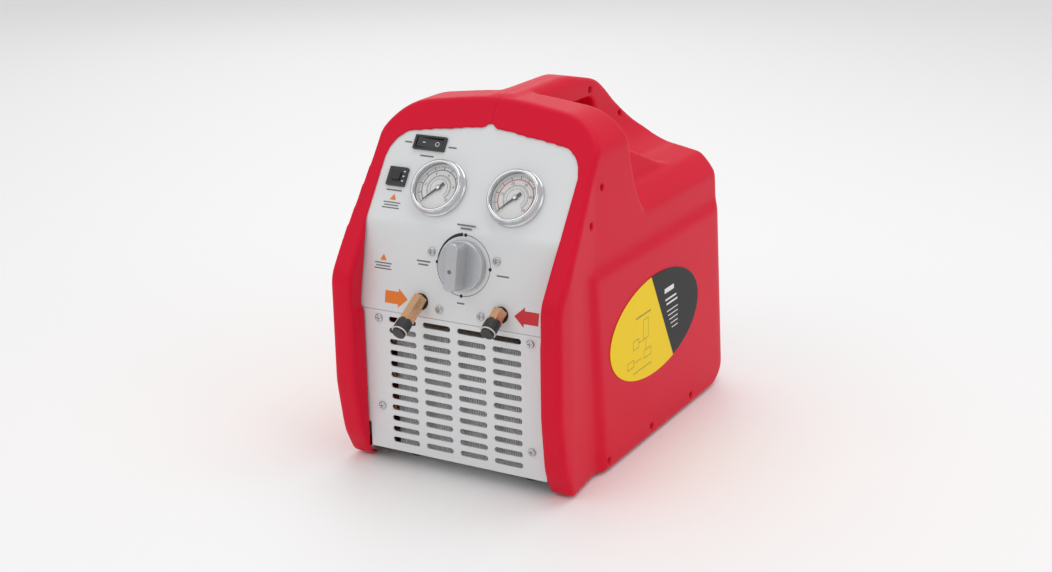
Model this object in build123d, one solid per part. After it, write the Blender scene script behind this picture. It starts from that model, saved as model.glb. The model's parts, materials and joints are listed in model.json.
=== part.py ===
from build123d import *

import os
from math import acos, cos, pi, radians, sin, tan

# Portable refrigerant recovery machine: an oil-less piston compressor, a finned condenser and a
# fan in a carry case of two moulded halves, with a sheet-metal control panel and intake grille.
#
# Millimetres, +Z up. The model is laid out from the grille plate's front face (y = 0, front
# towards -Y) and the case's joint plane (x = 0); save_all() then moves every part so that the
# origin lies at the bottom centre of the whole machine.

# ---------------------------------------------------------------- driving dimensions
WALL = 3.0                      # moulded case wall
SHEET = 1.5                     # panel and base sheet
FIT = 0.05                      # radial clearance of a running fit
CASE_BOTTOM = 2.0               # the feet hold the case this far off the floor
CASE_HALF_WIDTH = 124.6         # at the front frame and the label faces
CASE_WAIST = 118.6              # half width of the faces set in from them
FRAME_Y = -20.6                 # front face of the frame's legs
KNEE_Z = 192.5                  # where the frame's front starts to lean back
CREST_Z = 355.0                 # top of the arch and of the carry handle
DECK_Z = 257.0                  # edge of the crowned deck behind the handle
DECK_CROWN = 8.0                # the deck's middle stands this much higher
HANDLE_HALF = 20.0              # half width of the carry handle's bar
GRIP_FLOOR, GRIP_ROOF = 298.0, 327.0
GRIP_FRONT, GRIP_REAR = 141.0, 250.0
GRIP_CORNER = 13.0
REAR_Y = 370.0                  # rearmost line of the case, near the floor
REAR_LEAN = 0.105               # the rear wall leans forward by this much per mm of height

BASE_FRONT, BASE_REAR = 22.0, 332.0
BASE_HALF = 108.0
FLANGE_HEIGHT = 12.0            # turned-up sides of the base plate
FOOT_HEIGHT = 6.5
FOOT_R = 11.0
FOOT_X = 65.0
FOOT_YS = (36.0, 318.0)
BUSH_R = 6.0                    # rubber bushes under the compressor
CRADLE_FLOOR = 12.0             # top of those bushes

BUSH_SPOTS = [(x, y) for x in (-34.0, 34.0) for y in (254.0, 302.0)]
FLANGE_END = 14.0               # the flanges stop this far short of the plate's ends
WELL_HALF = 112.0               # opening in the case's floor, closed by the base plate
WELL_FRONT, WELL_REAR = 14.0, 338.0
WELL_ROOF = 12.0
LEG_GAP_REAR = 24.0             # open floor between the legs, ahead of that opening
LEG_GAP_ROOF = 18.0

JOINT_GAP = 0.1                 # each half stops this far short of the joint plane
NOTCH_R = 3.0                   # round notch where the joint meets the panel's top edge
NOTCH_Z = 327.0
BOSS_R = 5.4                    # screw bosses inside the case
BOSS_OVER = 12.0                # bosses are drawn this far past the face, then trimmed to it
HEAD_RECESS_R = 3.4
PILOT_R = 1.75
SCREW_DEPTH = 4.0               # screw heads sit this far below the case's faces
CASE_SCREW_HEAD, CASE_SCREW_R = 3.0, 1.7
FACE_DRAFT = 0.6                # screw faces are this far in from the widest line
HANDLE_SCREWS = [(HANDLE_HALF, 241.3, 334.5), (HANDLE_HALF + 4.0, 301.3, 299.0)]
HANDLE_BOSS = 54.0              # these bosses reach through both halves
HANDLE_SCREW = 26.0
FRAME_SCREWS = [(73.2, 283.8), (50.7, 252.6)]
FRAME_BOSS = 20.0
FOOT_SCREW_YS = (77.0, 173.0, 269.0)
FOOT_SCREW_Z = 12.4
FOOT_BOSS = 14.0

SEAM_Z = 157.7                  # joint between grille plate and control panel
BEND_Z = 241.0                  # bend line of the control panel
LEAN_LOW = radians(11.0)        # control panel below the bend
LEAN_HIGH = radians(35.0)       # control panel above the bend, and the frame
BEND_Y = (BEND_Z - SEAM_Z) * tan(LEAN_LOW)
OPENING_HALF = 102.3            # half width of the frame's opening
PLATE_HALF = 98.0               # half width left free at the grille plate
PANEL_HALF = 106.0              # half width of both front sheets
PANEL_TOP = 340.0
PLATE_FOOT_Z = 15.0             # bottom edge of the grille plate
PLATE_STEP_Z = 40.0             # below this the plate is only as wide as the gap between the legs

SLOT_LENGTH = 30.6
SLOT_HEIGHT = 5.6
SLOT_PITCH = 11.22
SLOT_ROWS = 12
SLOT_COLUMNS = (-57.0, -19.0, 19.0, 57.0)
FIRST_SLOT_Z = 26.1

VALVE_X = 6.5                   # the controls are centred right of the case joint
KNOB_Z = 210.8
KNOB_R = 24.0
GAUGE_SPREAD = 41.4
GAUGE_Z = 273.0
GAUGE_R = 28.6
NEEDLE_REST = 135.0             # needle's turn from straight up at no pressure, anticlockwise
PORT_SPREAD = 43.3
PORT_Z = 171.5
PORT_DROP = radians(30.0)       # hose ports point this far below level
INLET_REACH = 41.0              # elbow centre to cap end
OUTLET_REACH = 24.0
SWITCH = (-59.0, 308.6)
SWITCH_TILT = 8.0               # rocker's lean either way
BREAKER = (-83.3, 278.2)

MOTOR_Z = 78.0                  # compressor shaft height
CRANK_THROW = 5.0
ROD_LENGTH = 55.0
PISTON_R = 20.0
CRANK_Y = 197.0                 # middle of the crank pin
FAN_Z = 84.0
FAN_R = 58.0

SHEET_SEAT = 4.0                # room behind the frame for the front sheets
SEAT_GAP = 0.4                  # side clearance of the front sheets
SHEET_GAP = 0.5                 # gap between plate and panel
BEND_R = 30.0
CUT = 8.0                       # cuts through a sheet start and end this far off it
FAR = 500.0                     # beyond the machine on every side

PANEL_HEAD_R, PANEL_SCREW_R = 4.0, 2.0
PANEL_HOLE_R = 2.1
PLATE_SCREW, VALVE_SCREW = 9.0, 12.0
PLATE_SCREWS = [(-83.1, 149.5), (82.3, 149.5), (-83.1, 59.5), (82.3, 42.5)]
VALVE_SCREWS = [(-35.1, 219.3), (35.1, 219.3), (-22.4, 166.9), (22.4, 166.9)]
INLET_SPOT = (52.0, 74.0)       # power inlet's middle on the rear panel
INLET_SCREWS = (-20.0, 20.0)
INLET_HEAD_R, INLET_SCREW_R, INLET_SCREW = 3.0, 1.6, 8.0
INLET_SIZE = (28.0, 20.0)
INLET_FLANGE = (50.0, 23.0, 3.0)
INLET_MOUTH = (24.4, 16.6)
INLET_DEPTH, MOUTH_DEPTH = 20.0, 15.0
PINS = [(-7.0, 0.0), (0.0, 3.6), (7.0, 0.0)]
PIN_SIZE = (2.0, 4.0)
BLADE_SIZE = (0.8, 6.3)         # push-on terminals
BLADE_LENGTH = 10.0

RAIL_INNER, RAIL_OUTER = 78.0, 104.0
RAIL_FOOT_Z, RAIL_STEP_Z = 8.0, 24.0
RAIL_DEPTH = 30.0
RAIL_SHEET = 2.0

REAR_PANEL = (184.0, 160.0)
REAR_PANEL_Z = 127.0
REAR_CORNER = 12.0
REAR_VENT_HALF = 84.0           # opening in the rear wall, over the panel
REAR_VENT_ZS = (52.0, 202.0)
REAR_SLOT = (46.0, 5.0)
REAR_SLOT_PITCH = (52.0, 11.0)
REAR_SLOT_ROWS = 8
REAR_FIRST_ROW = -2             # rows below the panel's middle

SPOOL_STEM_R, SPOOL_R = 4.0, 8.0
SPOOL_SHOULDER, SPOOL_END = 14.0, 42.0
KNOB_LIFT = 1.0                 # knob's underside over the panel
SKIRT_TOP, GRIP_BASE, GRIP_TOP = 7.5, 5.0, 25.0
GRIP_WIDTH = 13.0
BLOCK_SIZE = (108.0, 70.0)
BLOCK_BACK = 46.0
BLOCK_DROP = 15.0               # block's middle below the knob
PORT_BORE_R, PORT_BORE_DEPTH = 5.2, 16.0
SUCTION_PORT = (-40.0, 8.0)     # on the block's back, from the knob's axis
LIQUID_PORT = (54.0, -4.0, -30.0)

GAUGE_CAN_R, GAUGE_CAN_DEPTH = 25.0, 26.0
GAUGE_WALL = 1.4
GAUGE_HOLE_R = 25.3
DIAL_R, DIAL_BACK, DIAL_FACE = 24.4, 0.7, 1.5
LENS_BACK, LENS_FACE = 6.6, 8.4
BEZEL_RINGS = [                 # outer radius, inner radius, back and front over the panel
    (GAUGE_R, 25.0, 0.0, 2.2), (26.8, 24.6, 2.2, 9.0), (25.6, 22.4, 8.4, 10.0)]
SOCKET_R, SOCKET_BACK, SOCKET_FRONT = 3.3, 36.0, 18.0
SOCKET_HEX_R = 6.0
BOURDON_R, BOURDON_TUBE_R = 15.0, 2.0
BOURDON_BACK = 16.0
ARBOR_R, ARBOR_BORE_R, ARBOR_BACK = 1.2, 1.4, 6.0
NEEDLE_HUB_R = 2.6
NEEDLE_BACK, NEEDLE_THICKNESS = 2.6, 0.6

SWITCH_FLANGE = (35.0, 14.6, 2.2)
SWITCH_BODY = (31.0, 11.8, 22.0)
SWITCH_MOUTH = (29.5, 10.4, 14.0)
ROCKER_HALF = 4.7
BREAKER_FLANGE = (20.5, 19.0, 2.6)
BREAKER_BODY = (16.2, 15.2, 26.0)
BREAKER_MOUTH = (8.6, 8.6, 14.0)
BUTTON = (8.0, 8.0)
BUTTON_BACK, BUTTON_FRONT = 10.0, 4.6
CUTOUT_GAP = 0.4

GROMMET_R, GROMMET_LIP = 8.0, 1.6
GROMMET_NECK_R = 6.5
FITTING_R, FITTING_BACK = 5.2, 15.5
FITTING_BORE_R = 1.8
ELBOW_OUT = 5.0                 # elbow centre over the panel
THREAD_R, THREAD_LENGTH = 4.6, 12.0
SEAT_R, SEAT_LENGTH = 2.6, 2.0  # flare cone at the fitting's end
CAP_R, CAP_END_R, CAP_BORE_R = 7.2, 6.4, 5.0
CAP_LENGTH, CAP_END = 15.8, 3.0
STRAP_WIDTH, STRAP_THICKNESS = 5.0, 1.2

CONDENSER_HALF = 72.0           # tube runs reach this far either side
CONDENSER_YS = (18.0, 36.0)     # front and rear bank of tubes
TUBE_R = 3.5
TUBE_WALL = 0.7
TUBE_ROWS = 7
TUBE_PITCH = 18.0
FIRST_TUBE_Z = 27.0
FIN_COUNT = 36
PIPE_R = 3.0
PIPE_BEND = 7.0
CAPACITOR_SPOT = (82.0, 166.0)
FILTER_SPOT = (-82.0, 150.0)
FIN_THICKNESS, END_FIN_THICKNESS = 0.5, 1.0
FIN_END_GAP = 2.0

SHROUD_SIZE = (152.0, 140.0)
SHROUD_FRONT, SHROUD_BACK, RING_BACK = 48.0, 50.0, 78.0
TIP_GAP = 4.0                   # between fan blades and their ring
FAN_HUB_R, FAN_FRONT, FAN_BACK = 16.0, 56.0, 72.0
BLADES, BLADE_PITCH, BLADE_CHORD, BLADE_THICKNESS = 5, 32.0, 26.0, 1.4
FAN_SHAFT_R, FAN_SHAFT_END = 2.5, 92.0
FAN_MOTOR_R, FAN_MOTOR_FRONT, FAN_MOTOR_BACK = 25.0, 84.0, 116.0
SPIDER_THICKNESS, SPIDER_ARM = 3.0, 7.0

CRANKCASE = (76.0, 64.0)
CRANKCASE_FLOOR, CRANKCASE_ROOF = 36.0, 120.0
CRANKCASE_WALL = 6.0
COVER_FRONT, COVER_BACK = 166.0, 171.0
BARREL_TOP, BARREL_WALL = 164.0, 5.0
BARREL_FIN_R, BARREL_FINS, BARREL_FIN_PITCH = 34.0, 5, 8.0
VALVE_PLATE_TOP, HEAD_DECK, HEAD_TOP = 166.5, 172.0, 182.0
HEAD_SIZE = (64.0, 60.0)
HEAD_FINS, HEAD_FIN_PITCH, HEAD_FIN_THICKNESS = 7, 9.0, 3.0
HEAD_BOLTS = [(x, y) for x in (-27.0, 27.0) for y in (-25.0, 25.0)]
HEAD_BOLT_R = 3.6
HEAD_PORT_X, HEAD_PORT_R, HEAD_PORT_TOP, HEAD_PORT_FLOOR = 18.0, 6.0, 186.0, 178.0
PISTON_SKIRT, PISTON_CROWN, PISTON_WALL = 108.0, 152.0, 3.0
BIG_END_R, SMALL_END_R, ROD_PIN_R = 9.0, 6.0, 2.5
CRANK_PIN_R, SHAFT_R, WEB_R = 5.0, 7.0, 18.0
WEB_FRONT, WEB_BACK, SHAFT_END = 6.0, 11.0, 336.0    # web's faces behind the crank pin's middle
MOTOR_R, MOTOR_WALL = 50.0, 3.8
MOTOR_FRONT, MOTOR_BACK, END_WALL = 235.0, 320.0, 4.0
STATOR_BORE_R, ROTOR_R = 28.2, 27.5
STATOR_FRONT, STATOR_BACK, ROTOR_FRONT, ROTOR_BACK = 248.0, 308.0, 250.0, 306.0
STATOR_SLOTS, STATOR_SLOT = 24, (12.0, 2.2)
BEARING_R = 12.0
VANES, VANE = 9, (28.0, 1.5, 9.0)
CRADLE_SIZE, CRADLE_TOP, CRADLE_Y = (84.0, 60.0), 60.0, 278.0

CAPACITOR_R, CAPACITOR_TOP = 18.0, 70.0
CLIP_WALL = 2.0
FILTER_R, FILTER_NECK_R, FILTER_FLOOR = 16.0, 6.0, 30.0
FILTER_SHOULDERS, FILTER_TOP = (8.0, 62.0), 70.0

LABEL_SPOT = (179.5, 120.5)     # middle of the oval on each side face
LABEL_RADII = (102.0, 51.0)
LABEL_THICKNESS = 0.4

HEAD_HEIGHT, HEAD_ROUND = 0.55, 0.35    # pan heads, as shares of the head's radius
RECESS_SHARES = (1.2, 0.24, 0.2)        # cross recess: arm, width and floor, likewise

ALIGN_BASE = (Align.CENTER, Align.CENTER, Align.MIN)

FRONT = Plane(origin=(0, 0, 0), x_dir=(1, 0, 0), z_dir=(0, -1, 0))
SIDE = Plane.YZ
PLAN = Plane.XY

parts = {}


# ---------------------------------------------------------------- shared helpers
def rounded_face(corners):
    """Face of straight runs joined by tangent arcs; each corner is (u, v) or (u, v, radius)."""
    points = [Vector(corner[0], corner[1]) for corner in corners]
    radii = [corner[2] if len(corner) > 2 else 0.0 for corner in corners]
    edges = []
    exits = []
    entries = []
    for i, here in enumerate(points):
        to_last = (points[i - 1] - here).normalized()
        to_next = (points[(i + 1) % len(points)] - here).normalized()
        half = acos(max(-1.0, min(1.0, to_last.dot(to_next)))) / 2
        if radii[i] == 0.0 or half > pi / 2 - 1e-3:
            entries.append(here)
            exits.append(here)
            continue
        cut = radii[i] / tan(half)
        start = here + to_last * cut
        end = here + to_next * cut
        middle = here + (to_last + to_next).normalized() * (radii[i] / sin(half) - radii[i])
        edges.append(ThreePointArc(start, middle, end))
        entries.append(start)
        exits.append(end)
    for i, start in enumerate(exits):
        end = entries[(i + 1) % len(points)]
        if (end - start).length > 1e-6:
            edges.append(Line(start, end))
    return make_face(edges)


def mirrored(half):
    """Corner list closed about u = 0 from the corners of its right-hand half, bottom to top."""
    left = [(-corner[0],) + tuple(corner[1:]) for corner in reversed(half) if corner[0] > 0]
    return list(half) + left


def prism(face, plane, start, end):
    """Extrude a flat face, drawn in the plane's own axes, between two offsets of that plane."""
    return extrude(plane.offset(start) * face, amount=end - start, dir=plane.z_dir)


def grown(face, amount):
    return face if amount == 0 else offset(face, amount=amount)


def disc(plane, radius, start, end, inner=0.0, at=(0, 0)):
    """Cylinder or ring along a plane's normal, between two offsets of that plane."""
    outline = Circle(radius) if inner == 0 else Circle(radius) - Circle(inner)
    return extrude(plane.offset(start) * Pos(at[0], at[1]) * outline, amount=end - start,
                   dir=plane.z_dir)


def slab(plane, width, height, start, end, at=(0, 0), corner=0.0):
    """Rectangular block along a plane's normal, with optional rounded corners."""
    outline = RectangleRounded(width, height, corner) if corner else Rectangle(width, height)
    return extrude(plane.offset(start) * Pos(at[0], at[1]) * outline, amount=end - start,
                   dir=plane.z_dir)


def tube(points, radius, bend, inner=0.0):
    """Round tube along straight runs joined by bends of one radius."""
    path = FilletPolyline(*points, radius=bend)
    section = Circle(radius) if inner == 0 else Circle(radius) - Circle(inner)
    return sweep(Plane(origin=path @ 0, z_dir=path % 0) * section, path=path)


def on_panel(x, z):
    """Plane on the control panel's front: x to the right, y up the sheet, z out towards the user."""
    lean = LEAN_LOW if z < BEND_Z else LEAN_HIGH
    y = (z - SEAM_Z) * tan(LEAN_LOW) if z < BEND_Z else BEND_Y + (z - BEND_Z) * tan(LEAN_HIGH)
    return Plane(origin=(x, y, z), x_dir=(1, 0, 0), z_dir=(0, -cos(lean), sin(lean)))


def port_axis(x):
    """Plane at a hose port's elbow centre, with z along the port towards its open end."""
    elbow = on_panel(x, PORT_Z).offset(ELBOW_OUT).origin
    return Plane(origin=elbow, x_dir=(1, 0, 0), z_dir=(0, -cos(PORT_DROP), -sin(PORT_DROP)))


def rear_wall_y(z):
    return REAR_Y + 3.0 - REAR_LEAN * z


def group(solids):
    """Separate solids kept together as one part."""
    return Compound(list(solids))


def round_top(solid, plane, radius):
    """Round the edges of a solid's outermost face along a plane's normal."""
    top = solid.faces().sort_by(Axis(plane.origin, plane.z_dir))[-1]
    return fillet(top.edges(), radius)


def cross_screw(plane, head_r, shank_r, length, at=(0, 0)):
    """Pan-head cross-recess screw standing on a plane, shank running inwards."""
    arm, width, floor = (share * head_r for share in RECESS_SHARES)
    head = round_top(disc(plane, head_r, 0, head_r * HEAD_HEIGHT, at=at), plane, head_r * HEAD_ROUND)
    recess = slab(plane, arm, width, floor, head_r, at=at)
    recess += slab(plane, width, arm, floor, head_r, at=at)
    return head - recess + disc(plane, shank_r, -length, 0, at=at)


# ---------------------------------------------------------------- carry case
def case_form(inset):
    """Solid form of the whole case, drawn in by inset, before its openings are cut."""
    band_side = rounded_face([
        (165, CASE_BOTTOM), (4, CASE_BOTTOM, 8), (-11, 30, 60), (FRAME_Y, 84, 80),
        (FRAME_Y, KNEE_Z, 30), (FRAME_Y + (CREST_Z - KNEE_Z) * tan(LEAN_HIGH), CREST_Z - 1, 9),
        (131, CREST_Z, 8), (133, 308, 60), (146, 268, 60), (165, 240)])
    band_front = rounded_face(mirrored([
        (CASE_HALF_WIDTH, CASE_BOTTOM), (CASE_HALF_WIDTH, 340, 56), (0, CREST_Z + 0.5, 300)]))
    band_plan = rounded_face(mirrored([
        (CASE_HALF_WIDTH, -60), (CASE_HALF_WIDTH, 2, 40), (CASE_WAIST, 58, 30),
        (CASE_WAIST, 200)]))
    band = prism(grown(band_side, -inset), SIDE, -FAR, FAR)
    band &= prism(grown(band_front, -inset), FRONT, -FAR, FAR)
    band &= prism(grown(band_plan, -inset), PLAN, -FAR, FAR)

    deck_top = DECK_Z + DECK_CROWN
    body_side = rounded_face([
        (40, CASE_BOTTOM), (338, CASE_BOTTOM, 30), (rear_wall_y(30), 30, 26),
        (rear_wall_y(deck_top), deck_top, 12), (40, deck_top)])
    body_front = rounded_face(mirrored([
        (CASE_HALF_WIDTH, CASE_BOTTOM), (CASE_HALF_WIDTH, 200, 4), (CASE_WAIST, 208, 4),
        (CASE_WAIST, 238, 8), (99, DECK_Z, 10), (70, DECK_Z + 6.5, 20), (0, deck_top + 0.5)]))
    body_plan = rounded_face(mirrored([
        (CASE_WAIST - 6, 48), (CASE_WAIST, 60, 3), (CASE_HALF_WIDTH, 72, 4),
        (CASE_HALF_WIDTH, rear_wall_y(0), 26)]))
    body = prism(grown(body_side, -inset), SIDE, -FAR, FAR)
    body &= prism(grown(body_front, -inset), FRONT, -FAR, 0)
    lean = Vector(0, -REAR_LEAN, 1)
    body &= extrude(grown(body_plan, -inset), amount=FAR * lean.length, dir=lean)

    top_side = rounded_face([
        (100, 230), (100, CREST_Z), (205, CREST_Z, 80), (262, 342, 60), (rear_wall_y(276), 276, 14),
        (rear_wall_y(230), 230)])
    top_front = rounded_face(mirrored([
        (93, 230), (93, DECK_Z - 1), (60, 265, 60), (31, 277, 40), (HANDLE_HALF + 2, 310, 60),
        (HANDLE_HALF, CREST_Z + 0.5, 14)]))
    top = prism(grown(top_side, -inset), SIDE, -FAR, FAR)
    top &= prism(grown(top_front, -inset), FRONT, -FAR, 0)

    saddle_side = rounded_face([
        (100, 230), (100, 306), (172, 303, 90), (262, 262, 90), (330, 250), (330, 230)])
    saddle_front = rounded_face(mirrored([
        (93, 230), (93, 258, 6), (84, 290, 30), (40, 306, 60), (0, 308, 60)]))
    saddle = prism(grown(saddle_side, -inset), SIDE, -FAR, FAR)
    saddle &= prism(grown(saddle_front, -inset), FRONT, -FAR, 0)

    grip = rounded_face([(y, z, GRIP_CORNER) for y, z in (
        (GRIP_FRONT, GRIP_FLOOR), (GRIP_REAR, GRIP_FLOOR),
        (GRIP_REAR, GRIP_ROOF), (GRIP_FRONT, GRIP_ROOF))])
    grip_hole = prism(grown(grip, inset), SIDE, -FAR, FAR)
    return band + body + (top + saddle - grip_hole)


def front_region(depth):
    """Everything ahead of the front sheets, moved back by depth."""
    front, floor, roof = -90.0, -20.0, 400.0
    high_y = BEND_Y + (roof - BEND_Z) * tan(LEAN_HIGH)
    return prism(rounded_face([
        (front, floor), (depth, floor), (depth, SEAM_Z), (BEND_Y + depth, BEND_Z),
        (high_y + depth, roof), (front, roof)]), SIDE, -FAR, FAR)


def opening_form(extra):
    """Frame opening seen from the front: straight above the seam, flared towards the user below."""
    outline = rounded_face(mirrored([
        (OPENING_HALF + extra, SEAM_Z), (OPENING_HALF + extra, 315 + extra, 26),
        (0, NOTCH_Z + extra)]))
    upper = prism(outline, FRONT, -FAR, FAR)
    flare = (OPENING_HALF - PLATE_HALF) / -FRAME_Y
    plan = rounded_face(mirrored([
        (PLATE_HALF + extra - flare * 10, 10), (PLATE_HALF + extra + flare * 50, -50)]))
    return upper + prism(plan, PLAN, -FAR, SEAM_Z)


def sheet_seat():
    """Room for the two front sheets behind the frame."""
    outline = rounded_face(mirrored([
        (PANEL_HALF + SEAT_GAP, WELL_FRONT), (PANEL_HALF + SEAT_GAP, PANEL_TOP + SEAT_GAP, BEND_R)]))
    return prism(outline, FRONT, -FAR, FAR) & (front_region(SHEET_SEAT) - front_region(0))


def case_screw_places():
    """Screws into the case's faces: (plane on the face, depth of the boss, length of the screw)."""
    spots = [(x, y, z, HANDLE_BOSS, HANDLE_SCREW, 1) for x, y, z in HANDLE_SCREWS]
    for sign in (1, -1):
        for y, z in FRAME_SCREWS:
            spots.append((CASE_WAIST - FACE_DRAFT, y, z, FRAME_BOSS,
                          FRAME_BOSS - SCREW_DEPTH - 2.0, sign))
        for y in FOOT_SCREW_YS:
            spots.append((CASE_HALF_WIDTH - FACE_DRAFT, y, FOOT_SCREW_Z, FOOT_BOSS,
                          FOOT_BOSS - SCREW_DEPTH - 2.0, sign))
    return [(Plane(origin=(sign * x, y, z), x_dir=(0, 1, 0), z_dir=(sign, 0, 0)), depth, length)
            for x, y, z, depth, length, sign in spots]


def case_halves():
    outer = case_form(0)
    cavity = case_form(WALL) - (opening_form(WALL) & front_region(0))
    well = prism(rounded_face(mirrored([
        (WELL_HALF, WELL_FRONT), (WELL_HALF, WELL_REAR, 12)])), PLAN, -CUT, WELL_ROOF)
    well += prism(rounded_face(mirrored([
        (PLATE_HALF, -40), (PLATE_HALF, LEG_GAP_REAR)])), PLAN, -CUT, LEG_GAP_ROOF)
    shell = outer - cavity - (opening_form(0) & front_region(SHEET_SEAT)) - sheet_seat() - well
    shell -= disc(FRONT, NOTCH_R, -120, 30, at=(0, NOTCH_Z))
    rear_vent = rounded_face(mirrored([(REAR_VENT_HALF, z, 10) for z in REAR_VENT_ZS]))
    shell -= prism(rear_vent, FRONT, -400, -340)
    places = case_screw_places()
    for plane, depth, _ in places:
        shell += disc(plane, BOSS_R, -depth, BOSS_OVER) & outer
    for plane, _, length in places:
        shell -= disc(plane, HEAD_RECESS_R, -SCREW_DEPTH, BOSS_OVER)
        shell -= disc(plane, PILOT_R, -SCREW_DEPTH - length - 1.0, 0)
    half = Box(FAR, 2 * FAR, 2 * FAR, align=(Align.MIN, Align.CENTER, Align.CENTER))
    parts["right_case_half"] = shell & Pos(JOINT_GAP, 0, 0) * half
    parts["left_case_half"] = shell & Pos(-JOINT_GAP - FAR, 0, 0) * half
    parts["case_screws"] = group(
        cross_screw(plane.offset(-SCREW_DEPTH), CASE_SCREW_HEAD, CASE_SCREW_R, length)
        for plane, _, length in places)


# ---------------------------------------------------------------- base, front sheets and rear panel
def base_and_feet():
    length = BASE_REAR - BASE_FRONT
    plate = slab(PLAN, 2 * BASE_HALF, length, FOOT_HEIGHT, FOOT_HEIGHT + SHEET,
                 at=(0, (BASE_FRONT + BASE_REAR) / 2), corner=12)
    for x in (1 - BASE_HALF, BASE_HALF - 1 - SHEET):
        flange = Box(SHEET, length - 2 * FLANGE_END, FLANGE_HEIGHT, align=Align.MIN)
        plate += Pos(x, BASE_FRONT + FLANGE_END, FOOT_HEIGHT + SHEET) * flange
    parts["base_plate"] = plate
    foot = disc(PLAN, FOOT_R, 0, FOOT_HEIGHT)
    foot = fillet(foot.edges().group_by(Axis.Z)[0], 1.5)
    feet = [Pos(x, y) * foot for x in (-FOOT_X, FOOT_X) for y in FOOT_YS]
    bushes = [disc(PLAN, BUSH_R, FOOT_HEIGHT + SHEET, CRADLE_FLOOR, at=at) for at in BUSH_SPOTS]
    parts["rubber_feet"] = group(feet + bushes)


def grille_plate():
    foot_half = PLATE_HALF - SEAT_GAP
    outline = rounded_face(mirrored([
        (foot_half, PLATE_FOOT_Z), (foot_half, PLATE_STEP_Z), (PANEL_HALF, PLATE_STEP_Z),
        (PANEL_HALF, SEAM_Z - SHEET_GAP)]))
    plate = prism(outline, FRONT, -SHEET, 0)
    slot = FRONT * SlotOverall(SLOT_LENGTH, SLOT_HEIGHT)
    slot = extrude(slot, amount=CUT, both=True)
    for row in range(SLOT_ROWS):
        for x in SLOT_COLUMNS:
            plate -= Pos(x, 0, FIRST_SLOT_Z + row * SLOT_PITCH) * slot
    for x, z in PLATE_SCREWS:
        plate -= disc(FRONT, PANEL_HOLE_R, -CUT, CUT, at=(x, z))
    parts["grille_plate"] = plate


def control_panel():
    high_y = BEND_Y + (PANEL_TOP - BEND_Z) * tan(LEAN_HIGH)
    back_low = SHEET / cos(LEAN_LOW)
    back_high = SHEET / cos(LEAN_HIGH)
    spread = SHEET / (1 + cos(LEAN_HIGH - LEAN_LOW))
    back_bend = (BEND_Y + spread * (cos(LEAN_LOW) + cos(LEAN_HIGH)),
                 BEND_Z - spread * (sin(LEAN_LOW) + sin(LEAN_HIGH)), BEND_R + SHEET)
    strip = rounded_face([
        (0, SEAM_Z), (BEND_Y, BEND_Z, BEND_R), (high_y, PANEL_TOP), (high_y + back_high, PANEL_TOP),
        back_bend, (back_low, SEAM_Z)])
    outline = rounded_face(mirrored([(PANEL_HALF, SEAM_Z), (PANEL_HALF, PANEL_TOP, BEND_R)]))
    panel = prism(strip, SIDE, -FAR, FAR) & prism(outline, FRONT, -FAR, FAR)
    panel -= disc(on_panel(VALVE_X, KNOB_Z), SPOOL_STEM_R + 0.6, -CUT, CUT)
    for x, z in VALVE_SCREWS:
        panel -= disc(on_panel(VALVE_X + x, z), PANEL_HOLE_R, -CUT, CUT)
    for side in (-1, 1):
        panel -= disc(on_panel(VALVE_X + side * GAUGE_SPREAD, GAUGE_Z), GAUGE_HOLE_R, -CUT, CUT)
        panel -= disc(on_panel(VALVE_X + side * PORT_SPREAD, PORT_Z), GROMMET_NECK_R + 0.1, -CUT, CUT)
    for place, (width, height, _) in ((SWITCH, SWITCH_BODY), (BREAKER, BREAKER_BODY)):
        panel -= slab(on_panel(*place), width + CUTOUT_GAP, height + CUTOUT_GAP, -CUT, CUT)
    parts["control_panel"] = panel


def panel_hardware():
    screws = [cross_screw(Plane(origin=(x, 0, z), x_dir=(1, 0, 0), z_dir=(0, -1, 0)),
                          PANEL_HEAD_R, PANEL_SCREW_R, PLATE_SCREW) for x, z in PLATE_SCREWS]
    screws += [cross_screw(on_panel(VALVE_X + x, z), PANEL_HEAD_R, PANEL_SCREW_R, VALVE_SCREW)
               for x, z in VALVE_SCREWS]
    screws += [cross_screw(rear_plane(*INLET_SPOT).offset(INLET_FLANGE[2]), INLET_HEAD_R,
                           INLET_SCREW_R, INLET_SCREW, at=(x, 0)) for x in INLET_SCREWS]
    parts["panel_screws"] = group(screws)
    rails = []
    for side in (-1, 1):
        inner, outer = side * RAIL_INNER, side * RAIL_OUTER
        outline = rounded_face([
            (inner, SHEET), (outer, SHEET), (outer, RAIL_DEPTH), (outer - side * RAIL_SHEET, RAIL_DEPTH),
            (outer - side * RAIL_SHEET, SHEET + RAIL_SHEET), (inner, SHEET + RAIL_SHEET)])
        rail = prism(outline, PLAN, RAIL_STEP_Z, SEAM_Z - 2.0)
        rail += slab(PLAN, RAIL_SHEET, 16.0, RAIL_FOOT_Z, RAIL_STEP_Z, at=(outer - side, 22.0))
        for x, z in PLATE_SCREWS:
            rail -= disc(FRONT, PANEL_SCREW_R, -12, CUT, at=(x, z))
        rails.append(rail)
    parts["panel_rails"] = group(rails)


def rear_plane(x, z):
    """Plane on the rear panel's outside: x to the left seen from the front, y up, z out."""
    y = rear_wall_y(z) - WALL - 0.2
    lean = Vector(0, 1, REAR_LEAN).normalized()
    return Plane(origin=(x, y, z), x_dir=(-1, 0, 0), z_dir=lean)


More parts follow.
